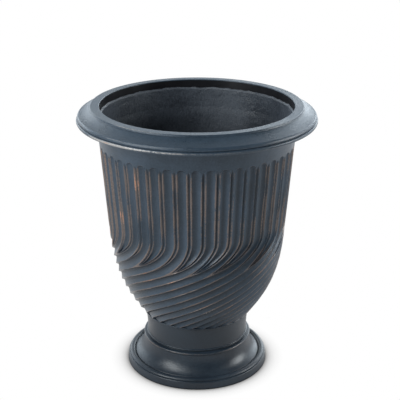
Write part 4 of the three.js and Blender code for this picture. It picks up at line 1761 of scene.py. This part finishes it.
@dataclass(frozen=True)
class PedestalFoot:
    """The hollow foot with its mouldings, the lay-up and paste at its seam, and its pads."""

    height: float = 118.0
    base: float = 148.0
    plinth_height: float = 15.5
    plinth_bead_width: float = 11.4
    plinth_bead_rise: float = 4.0
    plinth_bead_lean: float = 2.2
    skirt: float = 126.0
    bore: float = 96.5
    waist: float = 104.5
    neck_top: float = 108.0
    foot_bead_z: float = 59.8
    foot_bead_height: float = 5.6
    foot_bead_proud: float = 7.9
    quirk_z: float = 64.4
    ring_z: float = 67.4
    neck_length: float = 48.0
    standoff: float = 0.8
    pad_radius: float = 7.5
    pad_height: float = 4.0
    pad_circle: float = 137.0
    pads: int = 4
    foot_bead_bulge: float = 2.5
    ring_bulge: float = 1.1
    throat_depth: float = 52.6    # of the bore, from the top down to where it widens
    strip_top: float = 12.0       # of the strip under the spigot, below the foot's top
    strip_foot: float = 26.0
    paste_thin: float = 0.6
    paste_thick: float = 2.2
    paste_lumps: float = 24.0
    segments: int = 280
    waver: Waver = Waver(0.2, 9)

    def build(self, finishes: Finishes, strips: bpy.types.NodeTree) -> list[bpy.types.Object]:
        """Makes the foot, its strip, the paste at its seam and its pads."""
        return [self._foot(finishes), self._strip(finishes, strips), self._paste(finishes),
                self._pads(finishes)]

    def _foot(self, finishes: Finishes) -> bpy.types.Object:
        """Turns the foot and the neck.

        Args:
            finishes: the planter's.

        Returns:
            The foot.
        """
        plinth_top = self.base - 3
        outer = (plinth_top - 1.2, self.plinth_height + 1.1)
        inner = (outer[0] - self.plinth_bead_width, outer[1] + self.plinth_bead_lean)
        cove_foot = (inner[0] - 2, inner[1] + 0.6)
        cove_head = self.waist + self.foot_bead_proud - 2.6
        foot_low = self.foot_bead_z - self.foot_bead_height / 2
        foot_high = self.foot_bead_z + self.foot_bead_height / 2
        quirk, ring = self.waist + 0.2, self.waist + 1.2
        neck_foot = self.height - self.neck_length
        outline = Outline()
        # The plinth's bottom edge is darkened as painted shade.
        outline.corner(self.base - 0.4, self.standoff, 0.9, sunk=0.7)
        outline.corner(plinth_top + 0.9, self.plinth_height, 1.8, edge=0.25)
        outline.corner(outer[0] - 1.2, outer[1] - 0.5, 0.5, sunk=1.0)
        outline.bead(outer, inner, self.plinth_bead_rise, edge=0.35, peak=0.4, steps=16)
        outline.corner(inner[0] - 1, inner[1] - 0.9, 0.5, sunk=1.0)
        outline.corner(*cove_foot, 0.5, sunk=0.4)
        outline.curve(26, cove_foot, (lerp(cove_foot[0], cove_head, 0.6), cove_foot[1] + 6.5),
                      (cove_head + 1.5, lerp(cove_foot[1], foot_low, 0.5)), (cove_head, foot_low))
        outline.corner(cove_head, foot_low, 0.4, sunk=0.8)
        outline.bead((cove_head + 0.4, foot_low + 0.5), (cove_head, foot_high),
                     self.foot_bead_bulge, edge=0.6, peak=0.6, steps=14)
        outline.corner(quirk, self.quirk_z - 0.7, 0.5, sunk=1.0)
        outline.corner(quirk, self.quirk_z + 0.9, 0.5, sunk=1.0)
        outline.bead((ring - 0.1, self.ring_z - 1.5), (ring - 0.1, self.ring_z + 1.5),
                     self.ring_bulge, edge=0.35, peak=0.6, steps=8)
        outline.corner(ring - 1, self.ring_z + 1.9, 0.4, sunk=0.8)
        # The neck is darkened all along as painted shade.
        outline.curve(24, (ring - 0.8, neck_foot),
                      (self.waist - 0.4, neck_foot + self.neck_length * 0.22),
                      (self.waist, neck_foot + self.neck_length * 0.53), (self.neck_top, self.height),
                      sunk=0.3)
        outline.corner(self.neck_top, self.height, 0.8, edge=0.2)
        outline.corner(self.bore, self.height, 0.8)
        throat = self.height - self.throat_depth
        outline.corner(self.bore, throat, 0.0)
        outline.curve(10, (self.bore, throat), (self.bore + 2, lerp(throat, self.plinth_height, 0.5)),
                      (lerp(self.bore, self.skirt, 0.5), self.plinth_height + 1),
                      (self.skirt, self.plinth_height - 2))
        outline.corner(self.skirt, self.plinth_height - 2, 0.8)
        outline.corner(self.skirt, self.standoff, 0.8)
        foot = turn("pedestal_foot", outline.profile(), self.segments, self.waver)
        foot.data.materials.append(finishes.foot_paint_in_painted_shade)
        return place(foot, Body.PLANTER, Slot.PAINT, "pedestal")

    def _strip(self, finishes: Finishes, strips: bpy.types.NodeTree) -> bpy.types.Object:
        """Lays the strip under the bowl's spigot.

        Args:
            finishes: the planter's.
            strips: the tree that roughens it.

        Returns:
            The strip.
        """
        high, low = self.height - self.strip_top, self.height - self.strip_foot
        face = (Corner(88.4, high), Corner(92.2, high - 4), Corner(94.7, low))
        backed = self.bore - GLUE_LINE
        back = (Corner(backed, low + 1), Corner(backed, high))
        return LaidUpStrip("neck_layup_strip", "neck_bond_strip", face, back, segments=160,
                           face_rows=5, tear_depth=0.0).build(strips, finishes)

    def _paste(self, finishes: Finishes) -> bpy.types.Object:
        """Runs the paste round the seam.

        Args:
            finishes: the planter's.

        Returns:
            The paste.
        """
        paste = bpy.data.objects.new("neck_seam_paste", bpy.data.meshes.new("neck_seam_paste"))
        bpy.context.scene.collection.objects.link(paste)
        apply_tree(paste, paste_tree(), {
            "Seam Radius": (self.neck_top + 0.2) * MM,
            "Height": (self.height - 0.6) * MM,
            "Thin": self.paste_thin * MM,
            "Thick": self.paste_thick * MM,
            "Lump Size": self.paste_lumps * MM,
            "Steps": 320,
            "Seed": 3,
            "Paint": finishes.foot_paint_in_painted_shade,
        })
        return place(paste, Body.PLANTER, Slot.PAINT)

    def _pads(self, finishes: Finishes) -> bpy.types.Object:
        """Sets the pads out under the foot.

        Args:
            finishes: the planter's.

        Returns:
            All pads as one piece.
        """
        flat = self.pad_radius - 2.5
        outline = Outline()
        outline.corner(flat, 0.0, 0.0)
        outline.corner(self.pad_radius, 0.0, 0.7)
        outline.corner(self.pad_radius, self.pad_height, 0.3)
        outline.corner(flat, self.pad_height, 0.0)
        pads = turn("foot_pads", outline.profile(closed=False), 24, closed=False)
        apply_tree(pads, pads_tree(), {
            "Count": self.pads,
            "Circle Radius": self.pad_circle * MM,
            "First Angle": math.pi / 4,
            "Rubber": finishes.rubber,
        })
        nodes = [f"foot_pad_{i + 1}" for i in range(self.pads)]
        return place(pads, Body.PLANTER, Slot.RUBBER, *nodes)


# ---------------------------------------------------------------------------- bung


@dataclass(frozen=True)
class DrainBung:
    """The rubber bung in the drain, with its flange and finger knob."""

    flange_z: float = 127.6
    stem: float = 13.5
    taper: float = 1.4
    reach: float = 12.0
    flange: float = 22.0
    flange_height: float = 4.0
    knob: float = 7.0
    knob_height: float = 13.0
    knob_waist: float = 2.6   # how much narrower the knob is where the fingers hold it
    foot_flat: float = 4.0    # radii of the flat middles of its foot and its knob
    knob_flat: float = 2.0
    segments: int = 72

    def build(self, finishes: Finishes) -> list[bpy.types.Object]:
        """Turns the bung.

        Args:
            finishes: the planter's.

        Returns:
            The bung, alone in a list.
        """
        z = self.flange_z
        rim, top = z + self.flange_height, z + self.flange_height + self.knob_height
        outline = Outline()
        outline.corner(self.foot_flat, z - self.reach, 0.0)
        outline.corner(self.stem - self.taper, z - self.reach, 1.2)
        outline.corner(self.stem, z, 0.3)
        outline.corner(self.flange, z, 0.8)
        outline.corner(self.flange - 1.5, rim, 1.0)
        outline.corner(self.knob + 0.4, rim, 1.4)
        outline.corner(self.knob - self.knob_waist, lerp(rim, top, 0.35), 2.5)
        outline.corner(self.knob - 0.4, lerp(rim, top, 0.68), 2.0)
        outline.corner(self.knob - 1.4, top, 2.0)
        outline.corner(self.knob_flat, top, 0.0)
        bung = turn("rubber_bung", outline.profile(closed=False), self.segments, closed=False)
        bung.data.materials.append(finishes.rubber)
        return [place(bung, Body.PLUG, Slot.RUBBER, "drain_plug")]


# ---------------------------------------------------------------------------- studio


@dataclass(frozen=True)
class Softbox:
    """An area lamp that points at the planter."""

    name: str
    direction: Direction
    distance: float
    width: float
    height: float
    power: float
    colour: Colour = (0.93, 0.98, 1.0)

    def build(self, target: Vector) -> None:
        """Adds the lamp to the scene.

        Args:
            target: what it points at.
        """
        lamp = bpy.data.lights.new(self.name, "AREA")
        lamp.shape = "RECTANGLE"
        lamp.size = self.width
        lamp.size_y = self.height
        lamp.energy = self.power
        lamp.color = self.colour
        stand = bpy.data.objects.new(self.name, lamp)
        bpy.context.scene.collection.objects.link(stand)
        away = Vector(self.direction).normalized()
        stand.location = target + away * self.distance
        stand.rotation_mode = "QUATERNION"
        stand.rotation_quaternion = away.to_track_quat("Z", "Y")


@dataclass(frozen=True)
class Window:
    """A soft bright patch in the surround."""

    direction: Direction
    level: float
    outer: float = 0.87    # cosine of the angle from its middle at which it starts
    inner: float = 0.985   # cosine of the angle at which it is at full strength

    def glow(self, maker: TreeMaker, looking: bpy.types.NodeSocket) -> Field:
        """The light that it adds.

        Args:
            maker: of the surround's tree.
            looking: the direction of the look.

        Returns:
            The light in that direction.
        """
        towards = Vector(self.direction).normalized()
        made = maker.node("ShaderNodeVectorMath", {0: looking, 1: towards}, operation="DOT_PRODUCT")
        return Field(maker, made.outputs["Value"]).eased(self.outer, self.inner) * self.level


@dataclass(frozen=True)
class Studio:
    """White floor and surround, soft lamps and the camera."""

    floor_reach: float = 12.0
    floor_white: float = 0.5
    shadow_reach: float = 0.04
    shadow_depth: float = 1.9
    shadow_start: float = 0.06
    shadow_samples: int = 16
    front_light: float = 0.1
    back_light: float = 1.15
    top_light: float = 0.22
    behind: Point = (-0.4, 0.75)   # where a look leaves the front's light and is full in the back's
    above: Point = (0.45, 0.95)    # heights at which the top's light starts and is full
    windows: tuple[Window, ...] = (
        Window((0.5, 0.83, 0.2), 3.5),
        Window((-0.62, 0.75, 0.15), 2.3),
    )
    tint: Colour = (0.89, 0.99, 1.07)
    camera_place: tuple[float, float, float] = (0.0, -1.9348, 1.0982)
    camera_tilt: float = 69.02
    lens: float = 91.35
    sensor: float = 36.0
    shift_x: float = 0.0075
    lamps: tuple[Softbox, ...] = (
        Softbox("key softbox", (-0.69, -0.54, 0.5), 2.4, 1.0, 2.0, 70.0),
        Softbox("side softbox", (0.92, 0.0, 0.22), 2.4, 0.8, 1.2, 42.0),
    )

    def build(self) -> None:
        """Builds floor, surround, lamps and camera."""
        self._floor()
        self._surround()
        low, high = CAD_BOX
        for lamp in self.lamps:
            lamp.build((low + high) / 2)
        self._camera()
        bpy.context.scene.view_settings.view_transform = "Standard"

    def _seen(self, maker: TreeMaker) -> Field:
        """Tells looks from light.

        Args:
            maker: of a tree.

        Returns:
            1 for what the camera sees, straight or in a reflection, and 0 for light on the object.
        """
        path = maker.node("ShaderNodeLightPath")
        seen = Field(maker, path.outputs["Is Camera Ray"])
        for name in ("Is Glossy Ray", "Is Transmission Ray"):
            seen = seen.most(Field(maker, path.outputs[name]))
        return seen

    def _floor(self) -> None:
        """Lays the floor, which shows as white but keeps the shadow at the planter's foot."""
        material = bpy.data.materials.new("studio white")
        material.use_nodes = True
        material.node_tree.nodes.clear()
        maker = TreeMaker(material.node_tree)
        seen = self._seen(maker)
        hidden = maker.node("ShaderNodeAmbientOcclusion", {"Distance": self.shadow_reach},
                            samples=self.shadow_samples)
        shadow = ((1.0 - Field(maker, hidden.outputs["AO"])) * self.shadow_depth
                  - self.shadow_start).most(0.0)
        white = with_alpha((self.floor_white,) * 3)
        cloth = maker.node("ShaderNodeBsdfDiffuse", {"Color": white}).outputs[0]
        shown = maker.node("ShaderNodeEmission", {"Strength": (1.0 - shadow).most(0.0)}).outputs[0]
        both = maker.node("ShaderNodeMixShader", {0: seen, 1: cloth, 2: shown}).outputs[0]
        maker.node("ShaderNodeOutputMaterial", {"Surface": both})
        reach = self.floor_reach
        mesh = bpy.data.meshes.new("studio_floor")
        corners = [(-reach, -reach, 0), (reach, -reach, 0), (reach, reach, 0), (-reach, reach, 0)]
        mesh.from_pydata(corners, [], [(0, 1, 2, 3)])
        mesh.materials.append(material)
        floor = bpy.data.objects.new("studio_floor", mesh)
        bpy.context.scene.collection.objects.link(floor)

    def _surround(self) -> None:
        """Lights the planter from all round, brighter from behind it and dim from above."""
        world = bpy.data.worlds.new("studio surround")
        bpy.context.scene.world = world
        world.use_nodes = True
        world.node_tree.nodes.clear()
        maker = TreeMaker(world.node_tree)
        looking = maker.node("ShaderNodeTexCoord").outputs["Generated"]
        parts = maker.node("ShaderNodeSeparateXYZ", {0: looking}).outputs
        behind = Field(maker, parts["Y"]).eased(*self.behind)
        above = Field(maker, parts["Z"]).eased(*self.above)
        level = behind * (self.back_light - self.front_light) + self.front_light
        level = level.to(self.top_light, above)
        for window in self.windows:
            level = level + window.glow(maker, looking)
        path = maker.node("ShaderNodeLightPath")
        seen = Field(maker, path.outputs["Is Camera Ray"])
        shade = maker.node("ShaderNodeMix", {0: seen, 6: with_alpha(self.tint), 7: (1.0,) * 4},
                           data_type="RGBA").outputs[2]
        glow = maker.node("ShaderNodeBackground", {
            "Color": shade, "Strength": level.to(1.0, seen)}).outputs[0]
        maker.node("ShaderNodeOutputWorld", {"Surface": glow})

    def _camera(self) -> None:
        """Sets up the camera."""
        data = bpy.data.cameras.new("camera")
        data.lens = self.lens
        data.sensor_width = self.sensor
        data.shift_x = self.shift_x
        camera = bpy.data.objects.new("camera", data)
        bpy.context.scene.collection.objects.link(camera)
        camera.location = self.camera_place
        camera.rotation_euler = (math.radians(self.camera_tilt), 0.0, 0.0)
        bpy.context.scene.camera = camera


def main() -> None:
    """Builds the planter and the studio round it."""
    logging.basicConfig(level=logging.INFO, format="%(name)s: %(message)s")
    finishes = Finishes()
    strips = strip_tree()
    pieces = [
        *FlutedBowl().build(finishes),
        *RimAssembly().build(finishes, strips),
        *PedestalFoot().build(finishes, strips),
        *DrainBung().build(finishes),
    ]
    Studio().build()


if __name__ == "__main__":
    main()
